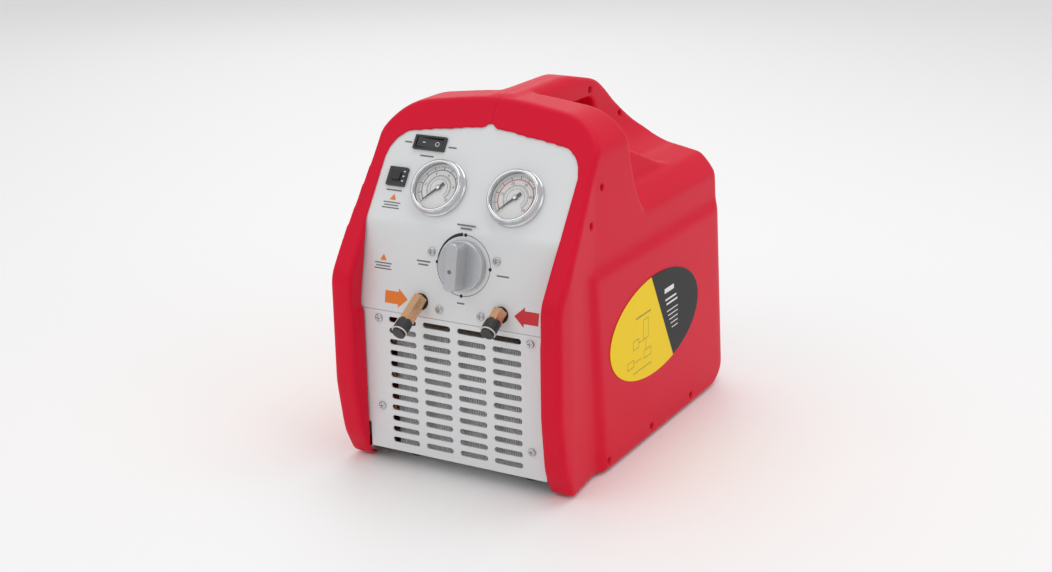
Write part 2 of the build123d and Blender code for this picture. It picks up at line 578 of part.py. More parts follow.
def rear_panel():
    middle = rear_plane(0, REAR_PANEL_Z)
    sheet = slab(middle, *REAR_PANEL, -SHEET, 0, corner=REAR_CORNER)
    slot = SlotOverall(*REAR_SLOT)
    across, up = REAR_SLOT_PITCH
    for row in range(REAR_SLOT_ROWS):
        for column in (-1, 0, 1):
            at = Pos(column * across, (row + REAR_FIRST_ROW) * up)
            sheet -= extrude(middle.offset(-CUT) * at * slot, amount=2 * CUT, dir=middle.z_dir)
    inlet = rear_plane(*INLET_SPOT)
    width, height = INLET_SIZE
    sheet -= slab(inlet, width + CUTOUT_GAP, height + CUTOUT_GAP, -CUT, CUT)
    for x in INLET_SCREWS:
        sheet -= disc(inlet, INLET_SCREW_R + 0.1, -CUT, CUT, at=(x, 0))
    parts["rear_panel"] = sheet


def power_inlet():
    inlet = rear_plane(*INLET_SPOT)
    flange_width, flange_height, flange = INLET_FLANGE
    body = slab(inlet, *INLET_SIZE, -INLET_DEPTH, 0, corner=3)
    body += slab(inlet, flange_width, flange_height, 0, flange, corner=5)
    body -= slab(inlet, *INLET_MOUTH, -MOUTH_DEPTH, CUT, corner=3)
    for x in INLET_SCREWS:
        body -= disc(inlet, INLET_SCREW_R + 0.1, -2, CUT, at=(x, 0))
    pin_width, pin_height = PIN_SIZE
    for at in PINS:
        body -= slab(inlet, pin_width + 0.1, pin_height + 0.1, -30, 0, at=at)
    parts["power_inlet"] = body


def terminal_blades():
    """Pins of the power inlet, and the push-on terminals behind the switch and the breaker."""
    inlet = rear_plane(*INLET_SPOT)
    thin, wide = BLADE_SIZE
    switch_back, breaker_back = -SWITCH_BODY[2], -BREAKER_BODY[2]
    blades = [slab(inlet, *PIN_SIZE, -INLET_DEPTH - 6.0, -3, at=at) for at in PINS]
    blades += [slab(on_panel(*SWITCH), thin, wide, switch_back - BLADE_LENGTH, switch_back, at=(x, 0))
               for x in (-10, 0, 10)]
    blades += [slab(on_panel(*BREAKER), wide, thin, breaker_back - BLADE_LENGTH, breaker_back,
                    at=(0, y)) for y in (-4.5, 4.5)]
    parts["terminal_blades"] = group(blades)


# ---------------------------------------------------------------- controls
def selector():
    face = on_panel(VALVE_X, KNOB_Z)
    skirt = round_top(disc(face, KNOB_R, KNOB_LIFT, SKIRT_TOP), face, 1.5)
    grip = slab(face, GRIP_WIDTH, 2 * KNOB_R - 3.0, GRIP_BASE, GRIP_TOP, corner=5.5)
    parts["selector_knob"] = skirt + round_top(grip, face, 1.8)
    spool = disc(face, SPOOL_STEM_R, -SPOOL_SHOULDER, KNOB_LIFT)
    parts["valve_spool"] = spool + disc(face, SPOOL_R, -SPOOL_END, -SPOOL_SHOULDER)


def valve_block():
    face = on_panel(VALVE_X, KNOB_Z)
    block = slab(face, *BLOCK_SIZE, -BLOCK_BACK, -SHEET, at=(0, -BLOCK_DROP), corner=3)
    block -= disc(face, SPOOL_R + FIT, -SPOOL_END - 0.5, 0.5 - SPOOL_SHOULDER)
    block -= disc(face, SPOOL_STEM_R + FIT, -SPOOL_SHOULDER, 0)
    for x, z in VALVE_SCREWS:
        block -= disc(on_panel(VALVE_X + x, z), PANEL_SCREW_R, -VALVE_SCREW - 2.0, 2)
    for side in (-1, 1):
        block -= disc(on_panel(VALVE_X + side * PORT_SPREAD, PORT_Z), PORT_BORE_R, -PORT_BORE_DEPTH, 2)
    block -= disc(face, PIPE_R + 0.1, -BLOCK_BACK - 4.0, 10.0 - BLOCK_BACK, at=SUCTION_PORT)
    entry = Plane(origin=liquid_port(), x_dir=(0, 1, 0), z_dir=(1, 0, 0))
    parts["valve_block"] = block - disc(entry, PIPE_R + 0.1, -10, 20)


def liquid_port():
    """Where the pipe from the condenser enters the right end of the valve block."""
    return on_panel(VALVE_X, KNOB_Z).from_local_coords(Vector(*LIQUID_PORT))


def gauge_movement(face):
    """Socket, stem, curved tube and the arbor's bearing, as one solid."""
    socket = disc(face, SOCKET_R, -SOCKET_BACK, -SOCKET_FRONT) + disc(face, SOCKET_HEX_R, -32, -26)
    stem = slab(face, 6.0, 18.0, -SOCKET_FRONT, 4.0 - SOCKET_FRONT, at=(0, -8.0))
    curve = Torus(BOURDON_R, BOURDON_TUBE_R, major_angle=270)
    bearing = disc(face, 4.5, -SOCKET_FRONT, -4.0, inner=ARBOR_BORE_R)
    return socket + stem + face.offset(-BOURDON_BACK) * Rot(0, 0, -90) * curve + bearing


def gauge_pointer(face):
    outline = rounded_face([(-1.6, -7.0), (1.6, -7.0), (1.1, 3.0), (0.25, 19.0), (-0.25, 19.0),
                            (-1.1, 3.0)])
    turned = face.offset(NEEDLE_BACK) * Rot(0, 0, NEEDLE_REST) * outline
    pointer = extrude(turned, amount=NEEDLE_THICKNESS, dir=face.z_dir)
    pointer += disc(face, NEEDLE_HUB_R, NEEDLE_BACK - 0.2, 4.0)
    return pointer + disc(face, ARBOR_R, -ARBOR_BACK, NEEDLE_BACK - 0.2)


def gauges():
    """Two panel gauges; each pointer is a part of its own."""
    cases = []
    bezels = []
    lenses = []
    movements = []
    for name, side in (("low", -1), ("high", 1)):
        face = on_panel(VALVE_X + side * GAUGE_SPREAD, GAUGE_Z)
        can = disc(face, GAUGE_CAN_R, -GAUGE_CAN_DEPTH, DIAL_BACK)
        can -= disc(face, GAUGE_CAN_R - GAUGE_WALL, SHEET - GAUGE_CAN_DEPTH, DIAL_BACK)
        cases.append(can - disc(face, SOCKET_R + 0.1, -30, -20))
        bezels.append(Part() + [disc(face, outer, back, front, inner=inner)
                                for outer, inner, back, front in BEZEL_RINGS])
        lenses.append(disc(face, DIAL_R, LENS_BACK, LENS_FACE))
        movements.append(gauge_movement(face))
        parts[name + "_gauge_dial"] = disc(face, DIAL_R, DIAL_BACK, DIAL_FACE, inner=1.8)
        parts[name + "_gauge_pointer"] = gauge_pointer(face)
    parts["gauge_cases"] = group(cases)
    parts["gauge_bezels"] = group(bezels)
    parts["gauge_lenses"] = group(lenses)
    parts["gauge_movements"] = group(movements)


def snap_in_body(face, flange, body, mouth):
    """Housing of a snap-in panel part: each size is (width, height, depth)."""
    housing = slab(face, *flange[:2], 0, flange[2], corner=1.0)
    housing += slab(face, *body[:2], -body[2], 0)
    return housing - slab(face, *mouth[:2], -mouth[2], CUT)


def power_switch():
    face = on_panel(*SWITCH)
    parts["switch_housing"] = snap_in_body(face, SWITCH_FLANGE, SWITCH_BODY, SWITCH_MOUTH)
    profile = rounded_face([(-13.8, 2.9, 1), (0, 0.7, 40), (13.8, 2.9, 1), (12.4, -4), (3, -9, 2),
                            (-3, -9, 2), (-12.4, -4)])
    across = Plane(origin=face.offset(-1.0).origin, x_dir=face.x_dir, z_dir=-face.y_dir)
    rocker = extrude(across * Rot(0, 0, -SWITCH_TILT) * profile, amount=ROCKER_HALF, both=True)
    parts["switch_rocker"] = rocker


def breaker():
    face = on_panel(*BREAKER)
    parts["breaker_housing"] = snap_in_body(face, BREAKER_FLANGE, BREAKER_BODY, BREAKER_MOUTH)
    button = slab(face, *BUTTON, -BUTTON_BACK, BUTTON_FRONT)
    parts["breaker_button"] = round_top(button, face, 0.8)


def port_grommets():
    grommets = []
    for side in (-1, 1):
        face = on_panel(VALVE_X + side * PORT_SPREAD, PORT_Z)
        ring = disc(face, GROMMET_R, 0, GROMMET_LIP, inner=FITTING_R + 0.4)
        ring += disc(face, GROMMET_NECK_R, -SHEET, 0, inner=FITTING_R + 0.1)
        grommets.append(ring)
    parts["port_grommets"] = group(grommets)


def hose_port(name, side, reach):
    """Fitting, screw cap and cap strap, reaching this far from the elbow along the port."""
    x = VALVE_X + side * PORT_SPREAD
    face = on_panel(x, PORT_Z)
    axis = port_axis(x)
    seat = reach - 2 * SEAT_LENGTH - 0.5
    shoulder = seat - THREAD_LENGTH
    fitting = disc(face, FITTING_R, -FITTING_BACK, ELBOW_OUT) + Pos(axis.origin) * Sphere(FITTING_R)
    fitting += disc(axis, FITTING_R, 0, shoulder) + disc(axis, THREAD_R, shoulder, seat)
    fitting += axis.offset(seat) * Cone(THREAD_R, SEAT_R, SEAT_LENGTH, align=ALIGN_BASE)
    parts[name + "_fitting"] = fitting - disc(axis, FITTING_BORE_R, 2.0, reach)
    cap = disc(axis, CAP_R, reach - CAP_LENGTH, reach - CAP_END)
    cap += disc(axis, CAP_END_R, reach - CAP_END, reach)
    parts[name + "_cap"] = cap - disc(axis, CAP_BORE_R, reach - 20.0, reach - 2.0)
    strap = slab(axis, STRAP_THICKNESS, STRAP_WIDTH, reach - 24.0, reach + 1.0, at=(-7.9, 0))
    strap += disc(axis, CAP_END_R, reach, reach + 1.0)
    strap += slab(axis, 8.0, STRAP_WIDTH, reach, reach + 1.0, at=(-4.5, 0))
    parts[name + "_cap_strap"] = strap


# ---------------------------------------------------------------- condenser and fan
def condenser_path():
    """Down the rear bank of tubes, across at the bottom, and up the front bank."""
    front_y, rear_y = CONDENSER_YS
    far = CONDENSER_HALF + TUBE_PITCH / 2
    steps = []
    rows = [FIRST_TUBE_Z + row * TUBE_PITCH for row in range(TUBE_ROWS)]
    for y, heights in ((rear_y, rows[::-1]), (front_y, rows)):
        sign = 1 if y == rear_y else -1
        for last, z in zip([None] + heights, heights):
            if last is not None:
                steps.append(ThreePointArc((sign * CONDENSER_HALF, y, last),
                                           (sign * far, y, (last + z) / 2),
                                           (sign * CONDENSER_HALF, y, z)))
            steps.append(Line((sign * CONDENSER_HALF, y, z), (-sign * CONDENSER_HALF, y, z)))
            sign = -sign
        if y == rear_y:
            steps.append(ThreePointArc((-CONDENSER_HALF, rear_y, rows[0]),
                                       (-far, (front_y + rear_y) / 2, rows[0]),
                                       (-CONDENSER_HALF, front_y, rows[0])))
    return Wire(steps)


def condenser():
    path = condenser_path()
    ring = Plane(origin=path @ 0, z_dir=path % 0) * (Circle(TUBE_R) - Circle(TUBE_R - TUBE_WALL))
    parts["condenser_coil"] = sweep(ring, path=path)

    depth = CONDENSER_YS[1] - CONDENSER_YS[0] + 16
    middle = sum(CONDENSER_YS) / 2
    fin = Rectangle(depth, TUBE_ROWS * TUBE_PITCH - 2)
    for y in CONDENSER_YS:
        for row in range(TUBE_ROWS):
            fin -= Pos(y - middle, (row - (TUBE_ROWS - 1) / 2) * TUBE_PITCH) * Circle(TUBE_R + FIT)
    centre_z = FIRST_TUBE_Z + (TUBE_ROWS - 1) / 2 * TUBE_PITCH
    sheet = Plane(origin=(0, middle, centre_z), x_dir=(0, 1, 0), z_dir=(1, 0, 0))
    step = 2 * (CONDENSER_HALF - 3 * FIN_END_GAP) / (FIN_COUNT - 1)
    plate = extrude(sheet.offset(-FIN_THICKNESS / 2) * fin, amount=FIN_THICKNESS, dir=sheet.z_dir)
    fins = [Pos((i - (FIN_COUNT - 1) / 2) * step, 0, 0) * plate for i in range(FIN_COUNT)]
    end = extrude(sheet.offset(-END_FIN_THICKNESS / 2) * fin, amount=END_FIN_THICKNESS, dir=sheet.z_dir)
    fins += [Pos(sign * (CONDENSER_HALF - FIN_END_GAP), 0, 0) * end for sign in (-1, 1)]
    parts["condenser_fins"] = group(fins)


def along_y(z):
    """Plane facing the rear, whose offsets are distances behind the grille plate's front."""
    return Plane(origin=(0, 0, z), x_dir=(1, 0, 0), z_dir=(0, 1, 0))


def radial_box(length, width, height):
    return Box(length, width, height, align=(Align.MIN, Align.CENTER, Align.MIN))


def fan_rotor(axis):
    middle = (FAN_FRONT + FAN_BACK) / 2
    root = FAN_HUB_R - TIP_GAP
    blade = Box(FAN_R + TIP_GAP - root, BLADE_CHORD, BLADE_THICKNESS,
                align=(Align.MIN, Align.CENTER, Align.CENTER))
    blade = Pos(root, 0, 0) * Rot(BLADE_PITCH, 0, 0) * blade
    rotor = disc(axis, FAN_HUB_R, FAN_FRONT, FAN_BACK)
    limit = disc(axis, FAN_R, FAN_FRONT - 2.0, FAN_BACK + 2.0)
    for i in range(BLADES):
        rotor += (axis.offset(middle) * Rot(0, 0, 360 / BLADES * i) * blade) & limit
    return rotor + disc(axis, FAN_SHAFT_R, FAN_BACK, FAN_SHAFT_END)


def fan_bracket(axis):
    """Ring on the back of the shroud, with three arms to the motor's seat."""
    seat = FAN_MOTOR_R + 1.0
    ring_r = FAN_R + TIP_GAP
    bracket = disc(axis, ring_r + 2.0, RING_BACK, RING_BACK + SPIDER_THICKNESS, inner=ring_r - 2.0)
    bracket += disc(axis, seat, RING_BACK, FAN_MOTOR_FRONT, inner=8)
    for i in range(3):
        turn = axis.offset(RING_BACK) * Rot(0, 0, 90 + 120 * i) * Pos(15, 0, 0)
        bracket += turn * radial_box(FAN_R - 10.0, SPIDER_ARM, SPIDER_THICKNESS)
    return bracket


def cooling_fan():
    axis = along_y(FAN_Z)
    ring_r = FAN_R + TIP_GAP
    shroud = slab(axis, *SHROUD_SIZE, SHROUD_FRONT, SHROUD_BACK) - disc(axis, ring_r, 40, 60)
    parts["fan_shroud"] = shroud + disc(axis, ring_r + 2.0, SHROUD_BACK, RING_BACK, inner=ring_r)
    parts["fan_rotor"] = fan_rotor(axis)
    motor = disc(axis, FAN_MOTOR_R, FAN_MOTOR_FRONT, FAN_MOTOR_BACK)
    motor -= disc(axis, FAN_SHAFT_R + FIT, FAN_MOTOR_FRONT - 4.0, FAN_SHAFT_END + 2.0)
    parts["fan_motor"] = round_top(motor, axis, 3.0)
    parts["fan_bracket"] = fan_bracket(axis)


# ---------------------------------------------------------------- compressor
def crankcase(axis, up):
    case = slab(PLAN, *CRANKCASE, CRANKCASE_FLOOR, CRANKCASE_ROOF, at=(0, CRANK_Y + 6), corner=6)
    case -= slab(PLAN, CRANKCASE[0] - 2 * CRANKCASE_WALL, 44, CRANKCASE_FLOOR + 8.0,
                 CRANKCASE_ROOF - CRANKCASE_WALL, at=(0, CRANK_Y - 1), corner=4)
    case -= disc(up, PISTON_R + FIT, 100, 130)
    case -= disc(axis, SHAFT_R + FIT, 210, 240)
    parts["crankcase"] = case - slab(axis, 50, 56, 160, 185, corner=8)
    cover = slab(axis, 66, 74, COVER_FRONT, COVER_BACK, corner=8)
    parts["crankcase_cover"] = cover + disc(axis, 12, COVER_FRONT - 3.0, COVER_FRONT)


def cylinder(up):
    barrel = disc(up, PISTON_R + BARREL_WALL, CRANKCASE_ROOF, BARREL_TOP, inner=PISTON_R + FIT)
    for i in range(BARREL_FINS):
        base = CRANKCASE_ROOF + 6.0 + BARREL_FIN_PITCH * i
        barrel += disc(up, BARREL_FIN_R, base, base + 2.5, inner=PISTON_R + BARREL_WALL - 1.0)
    parts["cylinder"] = barrel
    parts["valve_plate"] = disc(up, BARREL_FIN_R - 1.0, BARREL_TOP, VALVE_PLATE_TOP)


def cylinder_head(up):
    head = slab(up, *HEAD_SIZE, VALVE_PLATE_TOP, HEAD_DECK, corner=8)
    for i in range(HEAD_FINS):
        x = (i - (HEAD_FINS - 1) / 2) * HEAD_FIN_PITCH
        head += slab(up, HEAD_FIN_THICKNESS, 54, HEAD_DECK, HEAD_TOP, at=(x, 0))
    for side in (-1, 1):
        head += disc(up, HEAD_PORT_R, VALVE_PLATE_TOP, HEAD_PORT_TOP, at=(side * HEAD_PORT_X, 0))
        head -= disc(up, PIPE_R + 0.2, HEAD_PORT_FLOOR, HEAD_PORT_TOP + 4.0, at=(side * HEAD_PORT_X, 0))
    for at in HEAD_BOLTS:
        head -= disc(up, HEAD_BOLT_R + 0.9, HEAD_DECK, HEAD_PORT_TOP + 4.0, at=at)
    parts["cylinder_head"] = head
    parts["head_bolts"] = group(
        disc(up, HEAD_BOLT_R, HEAD_DECK, HEAD_DECK + 4.0, at=at) for at in HEAD_BOLTS)


def piston_and_rod(up):
    pin_z = MOTOR_Z - CRANK_THROW
    pin = along_y(pin_z)
    small = along_y(pin_z + ROD_LENGTH)
    hollow = disc(up, PISTON_R - PISTON_WALL, PISTON_SKIRT - 8.0, PISTON_CROWN - 5.0)
    parts["piston"] = disc(up, PISTON_R, PISTON_SKIRT, PISTON_CROWN) - hollow
    rod = disc(pin, BIG_END_R, CRANK_Y - 5, CRANK_Y + 5)
    rod += disc(small, SMALL_END_R, CRANK_Y - 6, CRANK_Y + 6)
    rod += Pos(0, CRANK_Y, pin_z + 4.0) * Box(8, 6, ROD_LENGTH - 8.0, align=ALIGN_BASE)
    rod += disc(small, ROD_PIN_R, CRANK_Y - 8, CRANK_Y + 8)
    parts["connecting_rod"] = rod - disc(pin, CRANK_PIN_R + FIT, CRANK_Y - 9, CRANK_Y + 9)


def crankshaft(axis):
    pin = along_y(MOTOR_Z - CRANK_THROW)
    shaft = disc(axis, SHAFT_R, CRANK_Y + WEB_BACK, SHAFT_END)
    shaft += disc(axis, WEB_R, CRANK_Y + WEB_FRONT, CRANK_Y + WEB_BACK)
    parts["crankshaft"] = shaft + disc(pin, CRANK_PIN_R, CRANK_Y - 6, CRANK_Y + 6)
    parts["motor_rotor"] = disc(axis, ROTOR_R, ROTOR_FRONT, ROTOR_BACK, inner=SHAFT_R)
    fan = disc(axis, SHAFT_R + 4.0, SHAFT_END - 10.0, SHAFT_END, inner=SHAFT_R)
    for i in range(VANES):
        turn = axis.offset(SHAFT_END - 9.5) * Rot(0, 0, 360 / VANES * i) * Pos(10, 0, 0)
        fan += turn * radial_box(*VANE)
    parts["motor_fan"] = fan


def drive_motor(axis):
    bore = MOTOR_R - MOTOR_WALL
    shell = disc(axis, MOTOR_R, MOTOR_FRONT + 1.0, MOTOR_BACK, inner=bore)
    for start in (MOTOR_FRONT, MOTOR_BACK - END_WALL):
        shell += disc(axis, MOTOR_R, start, start + END_WALL, inner=BEARING_R)
    parts["motor_housing"] = shell
    stator = disc(axis, bore, STATOR_FRONT, STATOR_BACK, inner=STATOR_BORE_R)
    for i in range(STATOR_SLOTS):
        turn = axis.offset(240) * Rot(0, 0, 360 / STATOR_SLOTS * i) * Pos(ROTOR_R - 0.5, 0, 0)
        stator -= turn * radial_box(*STATOR_SLOT, 80)
    parts["motor_stator"] = stator
    parts["shaft_bearings"] = group(
        disc(axis, BEARING_R, start, start + END_WALL, inner=SHAFT_R + FIT)
        for start in (MOTOR_FRONT, MOTOR_BACK - END_WALL))


def motor_cradle(axis):
    """Block hollowed to the motor's round, open underneath between its two feet."""
    spot = (0, CRADLE_Y)
    cradle = slab(PLAN, *CRADLE_SIZE, CRADLE_FLOOR, CRADLE_TOP, at=spot)
    cradle -= disc(axis, MOTOR_R + 0.1, 200, 330)
    parts["motor_cradle"] = cradle - slab(PLAN, 60, 80, CRADLE_FLOOR + 3.0, 45, at=spot)


def compressor():
    axis = along_y(MOTOR_Z)
    up = Plane(origin=(0, CRANK_Y, 0), x_dir=(1, 0, 0), z_dir=(0, 0, 1))
    crankcase(axis, up)
    cylinder(up)
    cylinder_head(up)
    piston_and_rod(up)
    crankshaft(axis)
    drive_motor(axis)
    motor_cradle(axis)


# ---------------------------------------------------------------- electrics and pipework
def run_capacitor():
    upright = Plane(origin=(*CAPACITOR_SPOT, FOOT_HEIGHT + SHEET), x_dir=(1, 0, 0), z_dir=(0, 0, 1))
    can = disc(upright, CAPACITOR_R, 1, CAPACITOR_TOP)
    parts["run_capacitor"] = fillet(can.edges().filter_by(GeomType.CIRCLE), 2)
    clip = disc(upright, CAPACITOR_R + CLIP_WALL, 20, 34, inner=CAPACITOR_R)
    clip += slab(upright, 44, 24, 0, 1)
    clip += slab(upright, 3, 16, 0, 34, at=(-21, 0))
    parts["capacitor_clip"] = clip - disc(upright, CAPACITOR_R, 1, 90)


def inlet_filter():
    drier = Plane(origin=(*FILTER_SPOT, FILTER_FLOOR), x_dir=(1, 0, 0), z_dir=(0, 0, 1))
    low, high = FILTER_SHOULDERS
    body = disc(drier, FILTER_R, low, high) + disc(drier, FILTER_NECK_R, 0, FILTER_TOP)
    body = fillet(body.edges().filter_by(
        lambda e: e.geom_type == GeomType.CIRCLE and e.radius > FILTER_R - 1.0), 5)
    bore = PIPE_R + 0.1
    parts["inlet_filter"] = body - disc(drier, bore, -5, low) - disc(drier, bore, high, 90)


def pipes():
    face = on_panel(VALVE_X, KNOB_Z)
    start = face.from_local_coords(Vector(*SUCTION_PORT, -37))
    clear = face.from_local_coords(Vector(*SUCTION_PORT, -66))
    filter_x, filter_y = FILTER_SPOT
    into_filter = [start, clear, (filter_x, 112, 186), (filter_x, filter_y, 180),
                   (filter_x, filter_y, 94)]
    high_z = 206.0
    to_head = [(filter_x, filter_y, 36), (filter_x, filter_y, 17), (filter_x, 188, 17),
               (filter_x, 188, high_z), (-HEAD_PORT_X, CRANK_Y, high_z),
               (-HEAD_PORT_X, CRANK_Y, HEAD_PORT_FLOOR + 2.0)]
    outside = 94.0
    top_row = FIRST_TUBE_Z + (TUBE_ROWS - 1) * TUBE_PITCH
    to_condenser = [(HEAD_PORT_X, CRANK_Y, HEAD_PORT_FLOOR + 2.0), (HEAD_PORT_X, CRANK_Y, high_z),
                    (outside, 170, high_z),
                    (outside, CONDENSER_YS[1] + 30, top_row + 20),
                    (outside, CONDENSER_YS[1], top_row),
                    (CONDENSER_HALF + 0.2, CONDENSER_YS[1], top_row)]
    port = liquid_port()
    to_block = [(CONDENSER_HALF + 0.2, CONDENSER_YS[0], top_row),
                (outside - 4, CONDENSER_YS[0], top_row), (outside - 4, port.Y, port.Z),
                (port.X - 6, port.Y, port.Z)]
    parts["copper_pipes"] = group(
        tube(route, PIPE_R, PIPE_BEND, inner=PIPE_R - TUBE_WALL)
        for route in (into_filter, to_head, to_condenser, to_block))


def labels():
    ovals = []
    for side in (-1, 1):
        face = Plane(origin=(side * CASE_HALF_WIDTH, *LABEL_SPOT), x_dir=(0, 1, 0),
                     z_dir=(side, 0, 0))
        ovals.append(extrude(face * Ellipse(*LABEL_RADII), amount=LABEL_THICKNESS,
                             dir=face.z_dir))
    parts["side_labels"] = group(ovals)


def save_all():
    box = group(parts.values()).bounding_box()
    shift = Pos(-box.center().X, -box.center().Y, -box.min.Z)
    os.makedirs("parts", exist_ok=True)
    for name, shape in parts.items():
        export_step(shift * shape, "parts/" + name + ".step")


case_halves()
base_and_feet()
grille_plate()
control_panel()
panel_hardware()
rear_panel()
power_inlet()
terminal_blades()
selector()
valve_block()
gauges()
power_switch()
breaker()
port_grommets()
hose_port("inlet", -1, INLET_REACH)
hose_port("outlet", 1, OUTLET_REACH)
condenser()
cooling_fan()
compressor()
run_capacitor()
inlet_filter()
pipes()
labels()
save_all()
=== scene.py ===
import json
from math import cos, pi, radians, sin

import bmesh
import bpy
import numpy as np
from mathutils import Matrix, Vector
from mathutils.bvhtree import BVHTree


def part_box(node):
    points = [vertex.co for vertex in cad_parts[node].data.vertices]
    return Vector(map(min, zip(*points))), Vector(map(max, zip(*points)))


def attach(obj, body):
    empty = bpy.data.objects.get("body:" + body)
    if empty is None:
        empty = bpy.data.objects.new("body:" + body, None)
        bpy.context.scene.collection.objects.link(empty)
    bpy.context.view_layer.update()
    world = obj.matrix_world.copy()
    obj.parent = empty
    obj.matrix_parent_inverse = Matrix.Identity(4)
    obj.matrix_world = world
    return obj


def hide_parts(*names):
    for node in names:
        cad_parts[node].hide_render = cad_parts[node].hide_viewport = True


# Looks for the portable refrigerant recovery machine. Metres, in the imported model's frame.
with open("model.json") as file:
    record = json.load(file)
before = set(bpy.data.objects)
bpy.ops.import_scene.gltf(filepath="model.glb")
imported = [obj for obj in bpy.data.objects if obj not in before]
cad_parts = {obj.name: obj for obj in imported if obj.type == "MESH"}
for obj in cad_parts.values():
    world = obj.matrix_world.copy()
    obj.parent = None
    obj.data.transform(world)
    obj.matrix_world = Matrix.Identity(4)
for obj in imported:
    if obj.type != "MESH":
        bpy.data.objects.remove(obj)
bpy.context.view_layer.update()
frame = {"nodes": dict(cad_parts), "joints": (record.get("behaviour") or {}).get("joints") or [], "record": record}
MM = 0.001
INK_THICKNESS = 0.04            # mm, as are all printed outlines
NUMBER_THICKNESS = 0.02

# ---------------------------------------------------------------- camera, lights and floor
CAMERA_AT = Vector((0.803958, -1.452817, 0.684783))
CAMERA_RIGHT = Vector((0.8737492, 0.4861524, -0.0147699))
CAMERA_UP = Vector((-0.1378610, 0.2766672, 0.9510256))
LENS_MM = 58.97
SENSOR_MM = 36.0


def make_camera():
    data = bpy.data.cameras.new("camera")
    data.lens = LENS_MM
    data.sensor_width = SENSOR_MM
    data.clip_start = 0.01
    data.clip_end = 50
    camera = bpy.data.objects.new("camera", data)
    back = CAMERA_RIGHT.cross(CAMERA_UP)
    turn = Matrix((CAMERA_RIGHT, CAMERA_UP, back)).transposed().to_4x4()
    camera.matrix_world = Matrix.Translation(CAMERA_AT) @ turn
    bpy.context.scene.collection.objects.link(camera)
    bpy.context.scene.camera = camera


def area_light(name, at, target, size, power):
    data = bpy.data.lights.new(name, "AREA")
    data.shape = "RECTANGLE"
    data.size, data.size_y = size
    data.energy = power
    light = bpy.data.objects.new(name, data)
    light.location = at
    light.rotation_euler = (Vector(target) - Vector(at)).to_track_quat("-Z", "Y").to_euler()
    bpy.context.scene.collection.objects.link(light)


LIGHTS_AIM = (0, 0, 0.18)
STUDIO_LIGHTS = [               # name, place, size, power
    ("key_light", (-0.9, -1.9, 1.9), (1.6, 1.2), 6),
    ("side_light", (2.3, -0.5, 1.2), (1.4, 1.6), 5),
    ("top_light", (0.2, 0.5, 2.4), (1.8, 1.8), 15),
    ("back_light", (-1.4, 1.9, 1.4), (1.4, 1.4), 5)]
SKY_STRENGTH = 0.66
FLOOR_REACH = 12.0
FLOOR_COLOUR = (0.98, 0.98, 0.98, 1)
FLOOR_ROUGHNESS = 0.6


def make_sky():
    world = bpy.data.worlds.new("studio")
    world.use_nodes = True
    background = world.node_tree.nodes["Background"]
    background.inputs["Color"].default_value = (1.0, 1.0, 1.0, 1)
    background.inputs["Strength"].default_value = SKY_STRENGTH
    bpy.context.scene.world = world
    bpy.context.scene.view_settings.view_transform = "Standard"


def make_floor():
    mesh = bpy.data.meshes.new("floor")
    corners = [(-FLOOR_REACH, -FLOOR_REACH, 0), (FLOOR_REACH, -FLOOR_REACH, 0),
               (FLOOR_REACH, FLOOR_REACH, 0), (-FLOOR_REACH, FLOOR_REACH, 0)]
    mesh.from_pydata(corners, [], [(0, 1, 2, 3)])
    floor = bpy.data.objects.new("floor", mesh)
    bpy.context.scene.collection.objects.link(floor)
    paint = bpy.data.materials.new("floor_paint")
    paint.use_nodes = True
    shader = paint.node_tree.nodes["Principled BSDF"]
    shader.inputs["Base Color"].default_value = FLOOR_COLOUR
    shader.inputs["Roughness"].default_value = FLOOR_ROUGHNESS
    mesh.materials.append(paint)


def make_studio():
    for name, at, size, power in STUDIO_LIGHTS:
        area_light(name, at, LIGHTS_AIM, size, power)
    make_sky()
    make_floor()


# ---------------------------------------------------------------- materials
def shade_between(nodes, links, fac, low, high):
    """Colour running from low to high as fac goes from 0 to 1."""
    scale = nodes.new("ShaderNodeValToRGB")
    scale.color_ramp.elements[0].color = (*low, 1)
    scale.color_ramp.elements[1].color = (*high, 1)
    links.new(fac, scale.inputs["Fac"])
    return scale.outputs["Color"]


def noise(nodes, links, where, scale, detail=4.0, stretch=(1, 1, 1)):
    mapping = nodes.new("ShaderNodeMapping")
    mapping.inputs["Scale"].default_value = stretch
    links.new(where, mapping.inputs["Vector"])
    texture = nodes.new("ShaderNodeTexNoise")
    texture.inputs["Scale"].default_value = scale
    texture.inputs["Detail"].default_value = detail
    links.new(mapping.outputs["Vector"], texture.inputs["Vector"])
    return texture.outputs["Fac"]


WEAR_FROM, WEAR_TO = 0.52, 0.62     # pointiness at which an edge starts to pale, and is palest
WEAR_GAIN, WEAR_LIFT = 1.3, 0.06    # worn colour, from the unworn one
ROUGHNESS_SPREAD = 0.07
COAT_ROUGHNESS = 0.15


def worn_edges(nodes, links, tint, colour, wear):
    """Tint that turns paler along the shape's sharp outer edges."""
    geometry = nodes.new("ShaderNodeNewGeometry")
    edge = nodes.new("ShaderNodeMapRange")
    edge.inputs["From Min"].default_value = WEAR_FROM
    edge.inputs["From Max"].default_value = WEAR_TO
    edge.inputs["To Max"].default_value = wear
    links.new(geometry.outputs["Pointiness"], edge.inputs["Value"])
    mix = nodes.new("ShaderNodeMix")
    mix.data_type = "RGBA"
    links.new(edge.outputs["Result"], mix.inputs["Factor"])
    links.new(tint, mix.inputs["A"])
    mix.inputs["B"].default_value = (*[min(1.0, c * WEAR_GAIN + WEAR_LIFT) for c in colour], 1)
    return mix.outputs["Result"]


